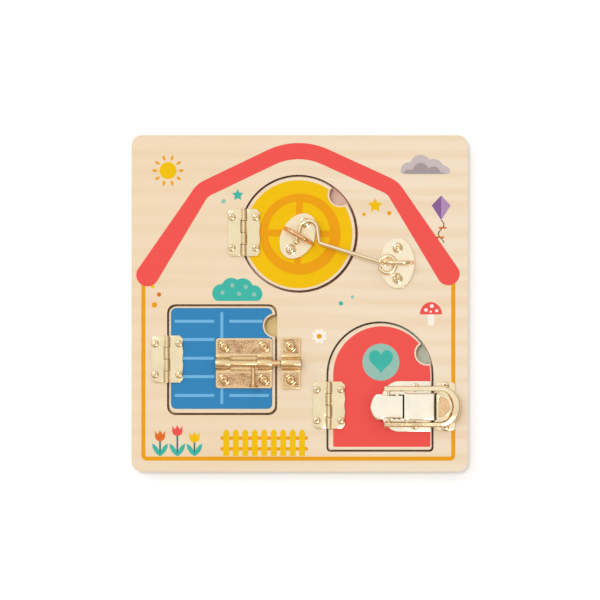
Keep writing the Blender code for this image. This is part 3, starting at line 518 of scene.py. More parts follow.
def line_sides(path, half_widths):
    """Both edges of a line along a path, the second one backwards."""
    left = []
    right = []
    for index, point in enumerate(path):
        ahead = path[min(index + 1, len(path) - 1)] - path[max(index - 1, 0)]
        side = Vector((-ahead.y, ahead.x)).normalized() * half_widths[index]
        left.append(tuple(point + side))
        right.append(tuple(point - side))
    return left, right[::-1]


def stroke(path, width):
    """The outline of a line of even width with straight ends."""
    left, right = line_sides(path, [width / 2] * len(path))
    return left + right


def band(path, half_widths):
    """The outline of a line with round ends, from its half width at each point."""
    left, right = line_sides(path, half_widths)
    first = math.atan2(path[1].y - path[0].y, path[1].x - path[0].x)
    last = math.atan2(path[-1].y - path[-2].y, path[-1].x - path[-2].x)
    end_cap = arc(*path[-1], half_widths[-1], last + QUARTER, last - QUARTER)[1:-1]
    start_cap = arc(*path[0], half_widths[0], first - QUARTER, first - 3 * QUARTER)[1:-1]
    return left + end_cap + right + start_cap


def star(x, y, outer, inner):
    outline = []
    for step in range(2 * STAR_POINTS):
        radius = inner if step % 2 else outer
        outline.append(polar(x, y, radius, QUARTER + step * math.pi / STAR_POINTS))
    return outline


def scalloped(x, y, radius, petals, depth):
    """A circle with round lobes."""
    outline = []
    for step in range(ROUND_STEPS):
        angle = step * math.tau / ROUND_STEPS
        reach = radius - depth * (1 - abs(math.sin(petals * angle / 2)))
        outline.append(polar(x, y, reach, angle))
    return outline


def heart(x, y, size):
    """A heart as wide as it is tall, from the usual sine formula."""
    outline = []
    steps = ROUND_STEPS // 2
    for step in range(steps):
        turn = (step + 0.5) * math.tau / steps
        across = 16 * math.sin(turn) ** 3
        up = 13 * math.cos(turn) - 5 * math.cos(2 * turn) - 2 * math.cos(3 * turn) - math.cos(4 * turn)
        outline.append((x + size * across / HEART_WIDE, y + size * (up + HEART_DROP) / HEART_TALL))
    return outline


# Modelling helpers

def link(obj):
    bpy.context.scene.collection.objects.link(obj)
    return obj


def mesh_object(shape):
    """An object with the shape of a bmesh, which is freed."""
    mesh = bpy.data.meshes.new("piece")
    shape.to_mesh(mesh)
    shape.free()
    return link(bpy.data.objects.new("piece", mesh))


def curve_object(dimensions, paths, closed):
    """A curve that runs straight from point to point of each path."""
    curve = bpy.data.curves.new("path", "CURVE")
    curve.dimensions = dimensions
    for path in paths:
        spline = curve.splines.new("POLY")
        spline.points.add(len(path) - 1)
        for point, place in zip(spline.points, path):
            point.co = (*place, 1)
        spline.use_cyclic_u = closed
    return link(bpy.data.objects.new("path", curve))


def bake(source):
    """A mesh object with the evaluated shape of source, which is removed."""
    bpy.context.view_layer.update()
    depsgraph = bpy.context.evaluated_depsgraph_get()
    mesh = bpy.data.meshes.new_from_object(source.evaluated_get(depsgraph))
    mesh.transform(source.matrix_world)
    shape = bmesh.new()
    shape.from_mesh(mesh)
    bmesh.ops.remove_doubles(shape, verts=shape.verts, dist=MERGE)
    bmesh.ops.recalc_face_normals(shape, faces=shape.faces)
    shape.to_mesh(mesh)
    shape.free()
    bpy.data.objects.remove(source)
    return link(bpy.data.objects.new("piece", mesh))


PLANES = {
    "XY": Matrix.Identity(4),
    "XZ": Matrix.Rotation(QUARTER, 4, "X"),
    "YZ": Matrix(((0, 0, 1, 0), (1, 0, 0, 0), (0, 1, 0, 0), (0, 0, 0, 1))),
}


def flat_solid(outlines, middle, thickness, plane="XY", bevel=0, steps=3):
    """A plate from its edge and its holes, with rounded edges if bevel is given."""
    source = curve_object("2D", [[(x, y, 0) for x, y in outline] for outline in outlines], True)
    source.data.fill_mode = "BOTH"
    source.data.extrude = thickness / 2
    source.matrix_world = Matrix.Translation(middle) @ PLANES[plane]
    solid = bake(source)
    return bake(round_edges(solid, bevel, steps)) if bevel else solid


def round_edges(obj, width, steps=3, angle=FOLD):
    soften = obj.modifiers.new("rounded edges", "BEVEL")
    soften.width = width
    soften.segments = steps
    soften.limit_method = "ANGLE"
    soften.angle_limit = angle
    soften.harden_normals = False
    return obj


def plate(outlines, low, thickness, bevel=0):
    return flat_solid(outlines, (0, 0, low + thickness / 2), thickness, bevel=bevel)


def skin(outlines, top):
    """A thin layer let into a surface at height top."""
    return plate(outlines, top - INK, 2 * INK)


def joined(pieces):
    """One object from several that touch."""
    shape = bmesh.new()
    for piece in pieces:
        shape.from_mesh(piece.data)
        bpy.data.objects.remove(piece)
    return mesh_object(shape)


def cut(target, tool):
    """Target with tool taken out of it."""
    change = target.modifiers.new("cut", "BOOLEAN")
    change.operation = "DIFFERENCE"
    change.solver = "EXACT"
    change.object = tool
    made = bake(target)
    bpy.data.objects.remove(tool)
    return made


def dress(obj, name, body, material, smooth=True):
    """Gives a piece its name, its material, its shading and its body."""
    obj.name = name
    obj.data.name = name
    obj.data.materials.clear()
    obj.data.materials.append(material)
    if smooth:
        obj.data.shade_smooth()
        obj.data.set_sharp_from_angle(angle=FOLD)
    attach(obj, body)


def stands_for(obj, node, material, name=""):
    """Dresses a finer piece in place of a frame node."""
    dress(obj, name or node + "_fine", BODY_OF[node], material)
    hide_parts(node)


# Materials

def linear(value):
    value = value / FULL
    return value / 12.92 if value <= 0.04045 else ((value + 0.055) / 1.055) ** 2.4


def colour(shade):
    """A node's colour from a palette name, a linear colour or a grey level."""
    if isinstance(shade, str):
        return tuple(linear(part) for part in PALETTE[shade]) + (1,)
    if isinstance(shade, tuple):
        return (*shade, 1)
    return (shade, shade, shade, 1)


class Nodes:
    """Short calls for building the node tree of a material or world."""

    def __init__(self, owner, shader="Principled BSDF"):
        owner.use_nodes = True
        self.owner = owner
        self.tree = owner.node_tree
        self.shader = self.tree.nodes[shader]

    def add(self, kind, settings=None, **inputs):
        node = self.tree.nodes.new("ShaderNode" + kind)
        for key, value in (settings or {}).items():
            setattr(node, key, value)
        for key, value in inputs.items():
            self.feed(node.inputs[key.replace("_", " ")], value)
        return node

    def feed(self, socket, value):
        if isinstance(value, bpy.types.NodeSocket):
            self.tree.links.new(value, socket)
        else:
            socket.default_value = value

    def place(self, stretch):
        """Coordinates on the piece itself, stretched along the axes."""
        where = self.add("TexCoord").outputs["Object"]
        return self.add("Mapping", Vector=where, Scale=stretch).outputs["Vector"]

    def noise(self, stretch, scale, detail, roughness=0.5, distortion=0.0):
        node = self.add("TexNoise", Vector=self.place(stretch), Scale=scale, Detail=detail,
                        Roughness=roughness, Distortion=distortion)
        return node.outputs["Fac"]

    def bands(self, direction, stretch, distortion, detail, detail_scale=1.0, detail_roughness=0.5):
        settings = {"wave_type": "BANDS", "bands_direction": direction}
        node = self.add("TexWave", settings, Vector=self.place(stretch), Scale=1.0,
                        Distortion=distortion, Detail=detail, Detail_Scale=detail_scale,
                        Detail_Roughness=detail_roughness)
        return node.outputs["Fac"]

    def ramp(self, value, stops):
        node = self.add("ValToRGB", Fac=value)
        elements = node.color_ramp.elements
        while len(elements) < len(stops):
            elements.new(0.5)
        for element, (position, shade) in zip(elements, stops):
            element.position = position
            element.color = colour(shade)
        return node.outputs["Color"]

    def result(self, kind, operation, values, output):
        node = self.add(kind, {"operation": operation})
        for socket, value in zip(node.inputs, values):
            self.feed(socket, value)
        return node.outputs[output]

    def math(self, operation, *values):
        return self.result("Math", operation, values, "Value")

    def vector_math(self, operation, *values, output="Vector"):
        return self.result("VectorMath", operation, values, output)

    def blend(self, values, shares):
        """The sum of the values times their shares."""
        parts = [self.math("MULTIPLY", value, share) for value, share in zip(values, shares)]
        total = parts[0]
        for part in parts[1:]:
            total = self.math("ADD", total, part)
        return total

    def mix(self, share, first, second, blend="MIX"):
        settings = {"data_type": "RGBA", "blend_type": blend}
        return self.add("Mix", settings, Factor=share, A=first, B=second).outputs["Result"]

    def bump(self, height, strength, distance):
        node = self.add("Bump", Height=height, Strength=strength, Distance=distance)
        self.feed(self.shader.inputs["Normal"], node.outputs["Normal"])

    def finish(self, base, roughness, **fixed):
        self.feed(self.shader.inputs["Base Color"], base)
        self.feed(self.shader.inputs["Roughness"], roughness)
        for key, value in fixed.items():
            self.shader.inputs[key.replace("_", " ")].default_value = value
        return self.owner


def material_nodes(name):
    return Nodes(bpy.data.materials.new(name))


def grain(nodes):
    """Long soft wood grain along X, from 0 to 1, with finer streaks in it."""
    patterns = (nodes.noise(*FINE_GRAIN), nodes.noise(*BROAD_GRAIN), nodes.bands(*YEAR_RINGS))
    return nodes.blend(patterns, GRAIN_SHARES)


def scorch_and_gap_shade_share(nodes, where):
    """A brown crescent right of the round hole, from 0 to 1: partly the cutter's scorch, partly painted shade that
    makes the gap beside the door look wider.
    """
    x, y, reach = plan_of("yellow_door")
    middle = Vector((x, y, 0))
    hole = reach + CRESCENT_START
    flat = nodes.vector_math("MULTIPLY", where, (1, 1, 0))
    inside = []
    for centre, radius in ((middle, hole), (middle + Vector(CRESCENT_SHIFT), hole + CRESCENT_WIDTH)):
        away = nodes.vector_math("DISTANCE", flat, centre, output="Value")
        inside.append(nodes.math("LESS_THAN", away, radius))
    return nodes.math("SUBTRACT", inside[1], inside[0])


def wood(name, outer_half):
    """Pale plywood: grain on the flats, ply layers on outer edges, burnt walls at inner cuts."""
    nodes = material_nodes(name)
    figure = grain(nodes)
    where = nodes.add("TexCoord").outputs["Object"]
    split = nodes.add("SeparateXYZ", Vector=where)
    across = nodes.math("MULTIPLY_ADD", split.outputs["X"], 1 / outer_half, 0.5)
    # The face turns paler from left to right across the middle of the board.
    light = nodes.mix(nodes.ramp(across, PALER_HALF), colour("wood_light"), colour("wood_pale"))
    face = nodes.mix(nodes.ramp(figure, GRAIN_TONES), colour("wood_dark"), light)
    ply = nodes.ramp(nodes.bands(*PLY_LAYERS), PLY_TONES)
    burnt = nodes.ramp(nodes.noise(*CHAR), BURNT_TONES)

    outer = nodes.math("MAXIMUM", *(nodes.math("ABSOLUTE", split.outputs[axis]) for axis in "XY"))
    is_outer = nodes.math("GREATER_THAN", outer, outer_half)
    side = nodes.mix(is_outer, burnt, ply)
    normal = nodes.add("NewGeometry").outputs["True Normal"]
    flat = nodes.math("ABSOLUTE", nodes.add("SeparateXYZ", Vector=normal).outputs["Z"])
    steeper = nodes.math("MULTIPLY", nodes.math("SUBTRACT", 1.0, is_outer), INNER_WALL_SHARE)
    is_flat = nodes.ramp(nodes.math("SUBTRACT", flat, steeper), FLAT_FACES)
    # Brown crescent by the round hole: partly scorch, partly painted shade of the door's gap.
    face = nodes.mix(scorch_and_gap_shade_share(nodes, where), face, colour("scorch"))
    base = nodes.mix(is_flat, side, face)
    nodes.bump(figure, *WOOD_BUMP)
    return nodes.finish(base, nodes.ramp(figure, WOOD_GLOSS), Specular_IOR_Level=WOOD_SPECULAR)


def ink(shade):
    """Print on wood: even colour with the grain only just showing through."""
    nodes = material_nodes("ink_" + shade)
    figure = grain(nodes)
    base = nodes.mix(1.0, colour(shade), nodes.ramp(figure, INK_TONES), "MULTIPLY")
    nodes.bump(figure, *INK_BUMP)
    return nodes.finish(base, nodes.ramp(figure, INK_GLOSS), Specular_IOR_Level=INK_SPECULAR)


def metal(name, shade, rough_low, rough_high, waviness):
    """Plated steel: soft waves in the polish, fine specks and a roughness that varies."""
    nodes = material_nodes(name)
    clouds = nodes.noise(*METAL_CLOUDS)
    base = nodes.mix(1.0, colour(shade), nodes.ramp(clouds, METAL_TONES), "MULTIPLY")
    waves = nodes.blend((clouds, nodes.noise(*METAL_SPECKS)), METAL_SHARES)
    rough = nodes.ramp(waves, list(zip(GLOSS_STOPS, (rough_low, rough_high))))
    nodes.bump(waves, waviness, METAL_BUMP_HEIGHT)
    return nodes.finish(base, rough, Metallic=1.0)


def mottled(name, light, dark, rough_low, rough_high):
    """A blasted metal face: fine grains of two tones over broader clouds."""
    nodes = material_nodes(name)
    grains = nodes.noise(*BLAST_GRAINS)
    spots = nodes.blend((grains, nodes.noise(*BLAST_CLOUDS)), BLAST_SHARES)
    base = nodes.ramp(spots, list(zip(BLAST_STOPS, (dark, light))))
    rough = nodes.ramp(spots, list(zip(GLOSS_STOPS, (rough_high, rough_low))))
    nodes.bump(grains, *BLAST_BUMP)
    return nodes.finish(base, rough, Metallic=1.0)


INKS = {shade: ink(shade) for shade in (
    "red", "yellow", "orange", "deep_orange", "blue", "light_blue", "teal", "light_teal",
    "dark_teal", "purple", "pale_purple", "grey", "pale_grey", "brown", "white", "pink", "olive",
    "sage")}
CREAM = metal("polished_cream_brass", "cream_brass", 0.14, 0.24, 0.05)
BRIGHT = metal("polished_pale_brass", "pale_brass", 0.12, 0.24, 0.10)
WARM = metal("polished_warm_brass", "warm_brass", 0.14, 0.26, 0.08)
ROLLED = metal("rolled_pale_brass", "rolled_brass", 0.14, 0.26, 0.12)
PLATE = mottled("frosted_pale_brass", "pale_brass", "plate_brass", 0.26, 0.38)
COPPER = metal("polished_copper_brass", "copper", 0.12, 0.24, 0.10)
SATIN = metal("polished_brass", "satin_brass", 0.16, 0.28, 0.15)
MOTTLED = mottled("frosted_brass", "mottled_brass", "mottled_dark", 0.34, 0.46)
# Dark brown stand-in for shade: painted shade under the toggle's lever and on the catch's ledge.
SHADE = metal("burnished_steel", "brown", 0.30, 0.45, 0.10)
DULL = mottled("frosted_recess", "recess_brass", "mottled_brass", 0.4, 0.5)


# Wooden pieces

def dress_wood():
    board_wood = wood("board_wood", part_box("front_panel")[1].x - PLY_EDGE)
    for name, edge in WOOD_EDGES.items():
        node = NODES[name]
        weld = node.modifiers.new("joined corners", "WELD")
        weld.merge_threshold = WELD
        round_edges(node, edge, 2, WOOD_FOLD)
        node.data.materials.clear()
        node.data.materials.append(board_wood)


# Prints

FILMS = {}


def print_shape(shade, *outlines, body="board", layer=0, base=FACE):
    """A thin film of ink on a wooden face; higher layers lie on lower ones."""
    low = base + INK + layer * INK_STEP
    FILMS.setdefault((body, shade), []).append(plate(outlines, low, INK))


def finish_prints():
    """One piece for each body and shade."""
    for (body, shade), films in FILMS.items():
        dress(joined(films), f"{body}_{shade}_print", body, INKS[shade], smooth=False)


def notch_place(name):
    """The middle of a door's finger notch, on the door's edge."""
    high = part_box(name + "_door")[1]
    x, y, reach = plan_of(name + "_door")
    if name == "blue":
        return high.x, BLUE_NOTCH_Y
    if name == "red":
        y = high.y - reach
    return polar(x, y, reach, NOTCH_ANGLES[name])


def door_print(name, outline):
    """A door's colour, which stops short of its edge and of its finger notch."""
    film = plate([outline], FACE + INK, INK)
    notch = circle(*notch_place(name), NOTCH_RADIUS + NOTCH_RIM)
    FILMS.setdefault((name + "_door", name), []).append(cut(film, plate([notch], FACE - INK, NOTCH_RIM)))


def yellow_prints():
    x, y, reach = plan_of("yellow_door")
    door_print("yellow", circle(x, y - DISC_DROP, reach - RIM, ROUND_STEPS))
    ring = [circle(x + across, y + up, radius, ROUND_STEPS) for across, up, radius in WHEEL_RING]
    print_shape("orange", *ring, body="yellow_door", layer=1)
    for layer, ends in enumerate((UPRIGHT_BAR, LEVEL_BAR), 2):
        bar_path = [Vector((x + across, y + up)) for across, up in ends]
        print_shape("orange", stroke(bar_path, BAR_WIDTH), body="yellow_door", layer=layer)


def blue_prints():
    low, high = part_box("blue_door")
    left, right, bottom, top = BLUE_RIMS
    outline = span_box(low.x + left, high.x - right, low.y + bottom, high.y - top, BLUE_CORNER)
    door_print("blue", outline)
    half = PLANK_LINE / 2
    lines = [(PLANK_MIDDLE_X - half, PLANK_MIDDLE_X + half, *PLANK_MIDDLE_Y)]
    for number, y in enumerate(PLANK_ROWS):
        right = PLANK_RIGHT_SHORT if number < PLANK_SHORT_ROWS else PLANK_RIGHT
        lines += [(*ends, y - half, y + half) for ends in (PLANK_LEFT, right)]
    for line in lines:
        row = span_box(*line, half * PLANK_END_SHARE)
        print_shape("light_blue", row, body="blue_door", layer=1)


def red_prints():
    low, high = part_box("red_door")
    middle, _, reach = plan_of("red_door")
    middle += RED_SHIFT
    reach -= RIM
    corner = RIM / 2
    foot = low.y + RIM + corner
    outline = arc(middle, high.y - RIM - reach, reach, 0, math.pi, ROUND_STEPS // 2)
    outline += arc(middle - reach + corner, foot, corner, math.pi, 3 * QUARTER, FLARE_STEPS)
    outline += arc(middle + reach - corner, foot, corner, 3 * QUARTER, math.tau, FLARE_STEPS)
    door_print("red", outline)
    print_shape("light_teal", circle(*HEART_PLACE, HEART_DISC), body="red_door", layer=1)
    print_shape("teal", heart(*HEART_PLACE, HEART_SIZE), body="red_door", layer=2)


def barn_lines():
    path = filleted(ROOF_POINTS, ROOF_BENDS, 2 * ARC_STEPS)
    widths = [ROOF_FOOT] + [ROOF_BAND] * (len(path) - 2) + [ROOF_FOOT]
    print_shape("red", band(path, widths), layer=1)
    corners = ((WALL_LEFT, WALL_TOP), (WALL_LEFT, WALL_BOTTOM), (WALL_RIGHT, WALL_BOTTOM),
               (WALL_RIGHT, WALL_TOP))
    walls = filleted(corners, (WALL_BEND, WALL_BEND), CORNER_STEPS)
    print_shape("orange", stroke(walls, WALL_LINE))


# Pictures printed on the board

def lobes(x, y, circles, base):
    """The outline round overlapping circles (x, y, radius) seen from (x, y), flat at base."""
    outline = []
    for step in range(ROUND_STEPS):
        angle = (step + 0.5) * math.tau / ROUND_STEPS
        ray = Vector((math.cos(angle), math.sin(angle)))
        reach = 0
        for cx, cy, radius in circles:
            offset = Vector((cx - x, cy - y))
            along = offset.dot(ray)
            spare = radius ** 2 - offset.length_squared + along ** 2
            if spare > 0:
                reach = max(reach, along + math.sqrt(spare))
        if ray.y < 0:
            reach = min(reach, (base - y) / ray.y)
        outline.append((x + ray.x * reach, y + ray.y * reach))
    return outline


def lens(x, y, length, width, angle):
    """A pointed leaf from (x, y), along angle."""
    half = length / 2
    radius = (half ** 2 + (width / 2) ** 2) / width
    swing = math.asin(half / radius)
    upper = arc(half, width / 2 - radius, radius, QUARTER + swing, QUARTER - swing, LENS_STEPS)
    return turned(upper + mirrored(upper, 1, -1)[1:-1], angle, x, y)


def sun():
    print_shape("yellow", circle(*SUN_PLACE, SUN_RADIUS))
    for step in range(SUN_RAYS):
        angle = step * math.tau / SUN_RAYS
        start = polar(*SUN_PLACE, SUN_RADIUS + SUN_GAP, angle)
        print_shape("orange", lens(*start, SUN_RAY, SUN_RAY_WIDTH, angle))


def cloud():
    x, y = CLOUD_PLACE
    size = CLOUD_SIZE
    eye = size * CLOUD_EYE_SHARE
    circles = [(x + px * size, y + py * size, radius * size) for px, py, radius in CLOUD_SHARES]
    print_shape("pale_grey", lobes(x, y + eye, circles, y))
    smaller = [(cx, cy - eye, radius * CLOUD_INNER_SHARE) for cx, cy, radius in circles]
    print_shape("grey", lobes(x, y + eye / 2, smaller, y), layer=1)


def kite():
    x, y = KITE_PLACE
    top, bottom = (x, y + KITE_TOP), (x, y - KITE_BOTTOM)
    print_shape("purple", [top, (x - KITE_HALF, y), bottom])
    print_shape("pale_purple", [top, bottom, (x + KITE_HALF, y)])
    tail = []
    steps = ROUND_STEPS // 2
    for step in range(steps):
        share = step / steps
        sway = KITE_SWAY * math.sin(share * math.tau * KITE_TURNS)
        tail.append(Vector((x + sway, y - KITE_BOTTOM - share * KITE_TAIL)))
    print_shape("brown", stroke(tail, TAIL_LINE))
    for share in KITE_BOW_SHARES:
        for angle in (0, math.pi):
            bow = lens(*tail[int(share * steps)], KITE_BOW, KITE_BOW / 2, angle)
            print_shape("deep_orange", bow, layer=1)


def bush():
    print_shape("teal", lobes(*BUSH_PLACE, BUSH_LOBES, BUSH_BASE))
    for place in BUSH_BERRIES:
        print_shape("light_teal", circle(*place, BERRY_RADIUS, DOT_STEPS), layer=1)


def tulips():
    half = TULIP_HEAD / 2
    for (x, height), shade in TULIPS.items():
        top = TULIP_BASE + height
        stem = span_box(x - STEM / 2, x + STEM / 2, TULIP_BASE, top, STEM / 4)
        print_shape("dark_teal", stem)
        for angle in (QUARTER - LEAF_LEAN, QUARTER + LEAF_LEAN):
            leaf = lens(x, TULIP_BASE, TULIP_LEAF, TULIP_LEAF_WIDTH, angle)
            print_shape("teal", leaf, layer=1)
        cup = arc(x, top, half, math.pi, math.tau, ROUND_STEPS // 4)
        right_tip = [(x + half, top + half), (x + half / 2, top + half / 3)]
        left_tip = [(x - half / 2, top + half / 3), (x - half, top + half)]
        peak = (x, top + half * TULIP_PEAK_SHARE)
        print_shape(shade, cup + right_tip + [peak] + left_tip, layer=2)


def fence():
    half = PICKET_WIDTH / 2
    low, high = FENCE_BASE, FENCE_BASE + PICKET_HEIGHT
    for number in range(PICKETS):
        x = FENCE_LEFT + number * PICKET_PITCH
        picket = [(x - half, low), (x + half, low), (x + half, high), (x, high + half), (x - half, high)]
        print_shape("yellow", picket, layer=1)
    right = FENCE_LEFT + (PICKETS - 1) * PICKET_PITCH + PICKET_WIDTH
    for height in RAIL_HEIGHTS:
        bottom = low + height
        rail = span_box(FENCE_LEFT - PICKET_WIDTH, right, bottom, bottom + RAIL_WIDTH, RAIL_WIDTH / 3)
        print_shape("orange", rail)


def flower(x, y, radius, petals, shade, heart_shade, layer=0, base=FACE):
    petal_ring = scalloped(x, y, radius, petals, radius / 3)
    print_shape(shade, petal_ring, layer=layer, base=base)
    print_shape(heart_shade, circle(x, y, radius / 3, BOW_STEPS), layer=layer + 1, base=base)


def toadstool():
    x, y = TOADSTOOL_PLACE
    stalk = span_box(x - STALK_HALF, x + STALK_HALF, y - STALK_HEIGHT, y + SEAT, STALK_HALF / 2)
    print_shape("white", stalk)
    dome = arc(0, 0, 1, 0, math.pi, ROUND_STEPS // 3)
    print_shape("red", [(x + CAP_HALF * px, y + CAP_HEIGHT * py) for px, py in dome], layer=1)
    for px, py, radius in CAP_DOT_SHARES:
        dot = circle(x + px * CAP_HALF, y + py * CAP_HEIGHT, radius * CAP_HALF, DOT_STEPS)
        print_shape("white", dot, layer=2)


def board_motifs():
    sun()
    cloud()
    kite()
    bush()
    tulips()
    fence()
    toadstool()
    flower(*DAISY_PLACE, DAISY_RADIUS, DAISY_PETALS, "white", "orange")
    for (x, y, radius), shade in STARS.items():
        print_shape(shade, star(x, y, radius, radius / 2))
    for place, shade in DOTS.items():
        print_shape(shade, circle(*place, DOT_STEPS))


def pictures_behind_doors():
    """A plain picture on the back panel in each doorway."""
    x, y, reach = plan_of("yellow_door")
    print_shape("pink", circle(x, y, reach + DOORWAY_SPARE, ROUND_STEPS), base=BACK_TOP)
    flower(x, y, reach * PICTURE_SHARE, PICTURE_PETALS, "yellow", "orange", 1, BACK_TOP)

    print_shape("olive", box_outline("blue_door", BLUE_CORNER, DOORWAY_SPARE), base=BACK_TOP)
    x, y, reach = plan_of("blue_door")
    reach *= PICTURE_SHARE
    print_shape("deep_orange", circle(x, y, reach, ROUND_STEPS), layer=1, base=BACK_TOP)
    for turn in range(4):
        pane = lens(x, y, reach, reach / 2, (turn + 0.5) * QUARTER)
        print_shape("white", pane, layer=2, base=BACK_TOP)

    low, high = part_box("red_door")
    x, y, reach = plan_of("red_door")
    wide = reach + DOORWAY_SPARE
    foot = low.y - DOORWAY_SPARE
    arch = arc(x, high.y - reach, wide, 0, math.pi, ROUND_STEPS // 2)
    print_shape("sage", arch + [(x - wide, foot), (x + wide, foot)], base=BACK_TOP)
    print_shape("light_teal", star(x, y, reach * PICTURE_SHARE, reach / 3), layer=1, base=BACK_TOP)
    print_shape("yellow", circle(x, y, reach / 4, BOW_STEPS), layer=2, base=BACK_TOP)


# Fine hardware

def revolve(profile, matrix, steps=BOW_STEPS, closed=False):
    """A solid turned about local Z from (radius, height) points."""
    edges = [(index, index + 1) for index in range(len(profile) - 1)]
    if closed:
        edges.append((len(profile) - 1, 0))
    mesh = bpy.data.meshes.new("profile")
    mesh.from_pydata([(radius, 0, height) for radius, height in profile], edges, [])
    source = link(bpy.data.objects.new("profile", mesh))
    source.matrix_world = matrix
    turn = source.modifiers.new("turn", "SCREW")
    turn.steps = steps
    turn.render_steps = steps
    turn.use_merge_vertices = True
    turn.merge_threshold = MERGE
    return bake(source)


def wire(points, radius):
    source = curve_object("3D", [points], False)
    source.data.bevel_depth = radius
    source.data.bevel_resolution = CORNER_STEPS
    source.data.use_fill_caps = True
    return bake(source)


def loft(sections):
    """A closed skin over rings of points, with both ends capped."""
    shape = bmesh.new()
    rings = [[shape.verts.new(point) for point in section] for section in sections]
    count = len(rings[0])
    for ring, following in zip(rings, rings[1:]):
        for index in range(count):
            ahead = (index + 1) % count
            shape.faces.new((ring[index], ring[ahead], following[ahead], following[index]))
    for ring in (rings[0], rings[-1]):
        shape.faces.new(ring)
    bmesh.ops.recalc_face_normals(shape, faces=shape.faces)
    return mesh_object(shape)


def along_y(place):
    return Matrix.Translation(place) @ Matrix.Rotation(QUARTER, 4, "X")


def along_x(place):
    return Matrix.Translation(place) @ Matrix.Rotation(QUARTER, 4, "Y")


def bar(radius, length, matrix, edge):
    """A round bar centred on matrix, with rounded ends."""
    half = length / 2
    profile = [(0, half)] + arc(radius - edge, half - edge, edge, QUARTER, 0, END_STEPS)
    return revolve(profile + mirrored(profile, 1, -1), matrix)


def tube(radius, bore, length, matrix, edge):
    half = length / 2
    profile = [(bore, half - edge), (bore + edge, half), (radius - edge, half), (radius, half - edge)]
    return revolve(profile + mirrored(profile, 1, -1), matrix, closed=True)


# Screws

def screw_head(radius):
    """A domed head with a cross recess, seated at height 0, on a pointed shank."""
    rise = HEAD_HEIGHT - HEAD_RIM
    dome = arc(0, 0, 1, QUARTER, 0, CORNER_STEPS)[1:]
    profile = [(0, HEAD_HEIGHT)] + [(radius * px, HEAD_RIM + rise * py) for px, py in dome]
    profile += [(radius - HEAD_RIM / 2, 0), (SHANK_RADIUS, 0)]
    profile += [(SHANK_RADIUS, SHANK_POINT - SHANK_LENGTH), (0, -SHANK_LENGTH)]
    head = revolve(profile, Matrix.Identity(4), TURNED_STEPS)
    arm = ((RECESS_REACH, -RECESS_TIP / 2), (RECESS_REACH, RECESS_TIP / 2), (RECESS_WIDTH / 2,) * 2)
    cross = []
    for number in range(RECESS_ARMS):
        cross += turned(arm, number * QUARTER + SCREW_TURN)
    floor = HEAD_HEIGHT - RECESS_DEPTH
    levels = ((RECESS_FLOOR_SHARE, floor), (1, HEAD_HEIGHT), (1, 2 * HEAD_HEIGHT))
    rings = [[(x * share, y * share, height) for x, y in cross] for share, height in levels]
    head = cut(head, loft(rings))
    mesh = head.data
    bpy.data.objects.remove(head)
    return mesh


def seat_ring(x, y, z):
    """The pressed ring round a screw's seat."""
    profile = [(SEAT_INNER, 0), (SEAT_INNER, SEAT_RISE), (SEAT_INNER + SEAT_EDGE, SEAT_RISE + SEAT_EDGE),
               (SEAT_OUTER - SEAT_EDGE, SEAT_RISE), (SEAT_OUTER, 0)]
    return revolve(profile, Matrix.Translation((x, y, z)), TURNED_STEPS, closed=True)


def all_screws():
    heads = {}
    for node in sorted(NODES):
        if "_screw_" not in node:
            continue
        material = SATIN if node.startswith(("bolt", "keeper")) else BRIGHT
        x, y, radius = plan_of(node)
        radius = round(radius, 4)
        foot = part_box(node)[1].z - HEAD_HEIGHT
        if radius not in heads:
            heads[radius] = screw_head(radius)
        screw = link(bpy.data.objects.new("screw", heads[radius].copy()))
        screw.location = (x, y, foot)
        screw.rotation_euler.z = x * SCREW_SCATTER + y * SCREW_SCATTER / 2
        stands_for(screw, node, material)
        if node.startswith(("bolt", "keeper", "hook")):
            seat = seat_ring(x, y, foot - SEAT)
            dress(seat, node + "_seat", BODY_OF[node], material)


# Butt hinges

def leaf_outline(first_own, length):
    """A hinge leaf from the pin's line outwards, with tabs at its own knuckles and a wavy edge."""
    half = length / 2
    pitch = length / KNUCKLES
    points = [(LEAF_SETBACK, -half)]
    for knuckle in range(first_own, KNUCKLES, 2):
        low = -half + knuckle * pitch + KNUCKLE_GAP
        high = low + pitch - 2 * KNUCKLE_GAP
        points += [(LEAF_SETBACK, low), (LEAF_TAB_REACH, low)]
        points += [(LEAF_TAB_REACH, high), (LEAF_SETBACK, high)]
    points += [(LEAF_SETBACK, half), (LEAF_WIDTH - LEAF_CHAMFER, half)]
    wave_half = half - LEAF_CHAMFER
    steps = WAVES * LENS_STEPS
    for step in range(steps + 1):
        share = step / steps
        dip = LEAF_WAVE * (1 - math.cos(share * WAVES * math.tau)) / 2
        points.append((LEAF_WIDTH - dip, wave_half - 2 * wave_half * share))
    points.append((LEAF_WIDTH - LEAF_CHAMFER, -half))
    befores = points[-1:] + points[:-1]
    return [point for point, before in zip(points, befores) if math.dist(point, before) > SAME_POINT]


def hinges():
    for door in ("yellow", "blue", "red"):
        x, y, z = JOINTS[door + "_door_hinge"]["pos_m"]
        low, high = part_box(door + "_hinge_pin")
        length = high.y - low.y
        pitch = length / KNUCKLES
        for part, side, first in (("frame", -1, 1), ("door", 1, 0)):
            node = f"{door}_hinge_{part}_leaf"
            edge = [(x + side * px, y + py) for px, py in leaf_outline(first, length)]
            pieces = [plate([edge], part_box(node)[0].z, LEAF_THICKNESS, LEAF_EDGE)]
            for knuckle in range(first, KNUCKLES, 2):
                place = along_y((x, y - length / 2 + knuckle * pitch + pitch / 2, z))
                pieces.append(tube(KNUCKLE_RADIUS, KNUCKLE_BORE, pitch - KNUCKLE_GAP, place, LEAF_EDGE))
            stands_for(joined(pieces), node, ROLLED)
        pin = bar(PIN_RADIUS, length + 2 * PIN_PROUD, along_y((x, y, z)), LEAF_EDGE)
        stands_for(pin, door + "_hinge_pin", BRIGHT)


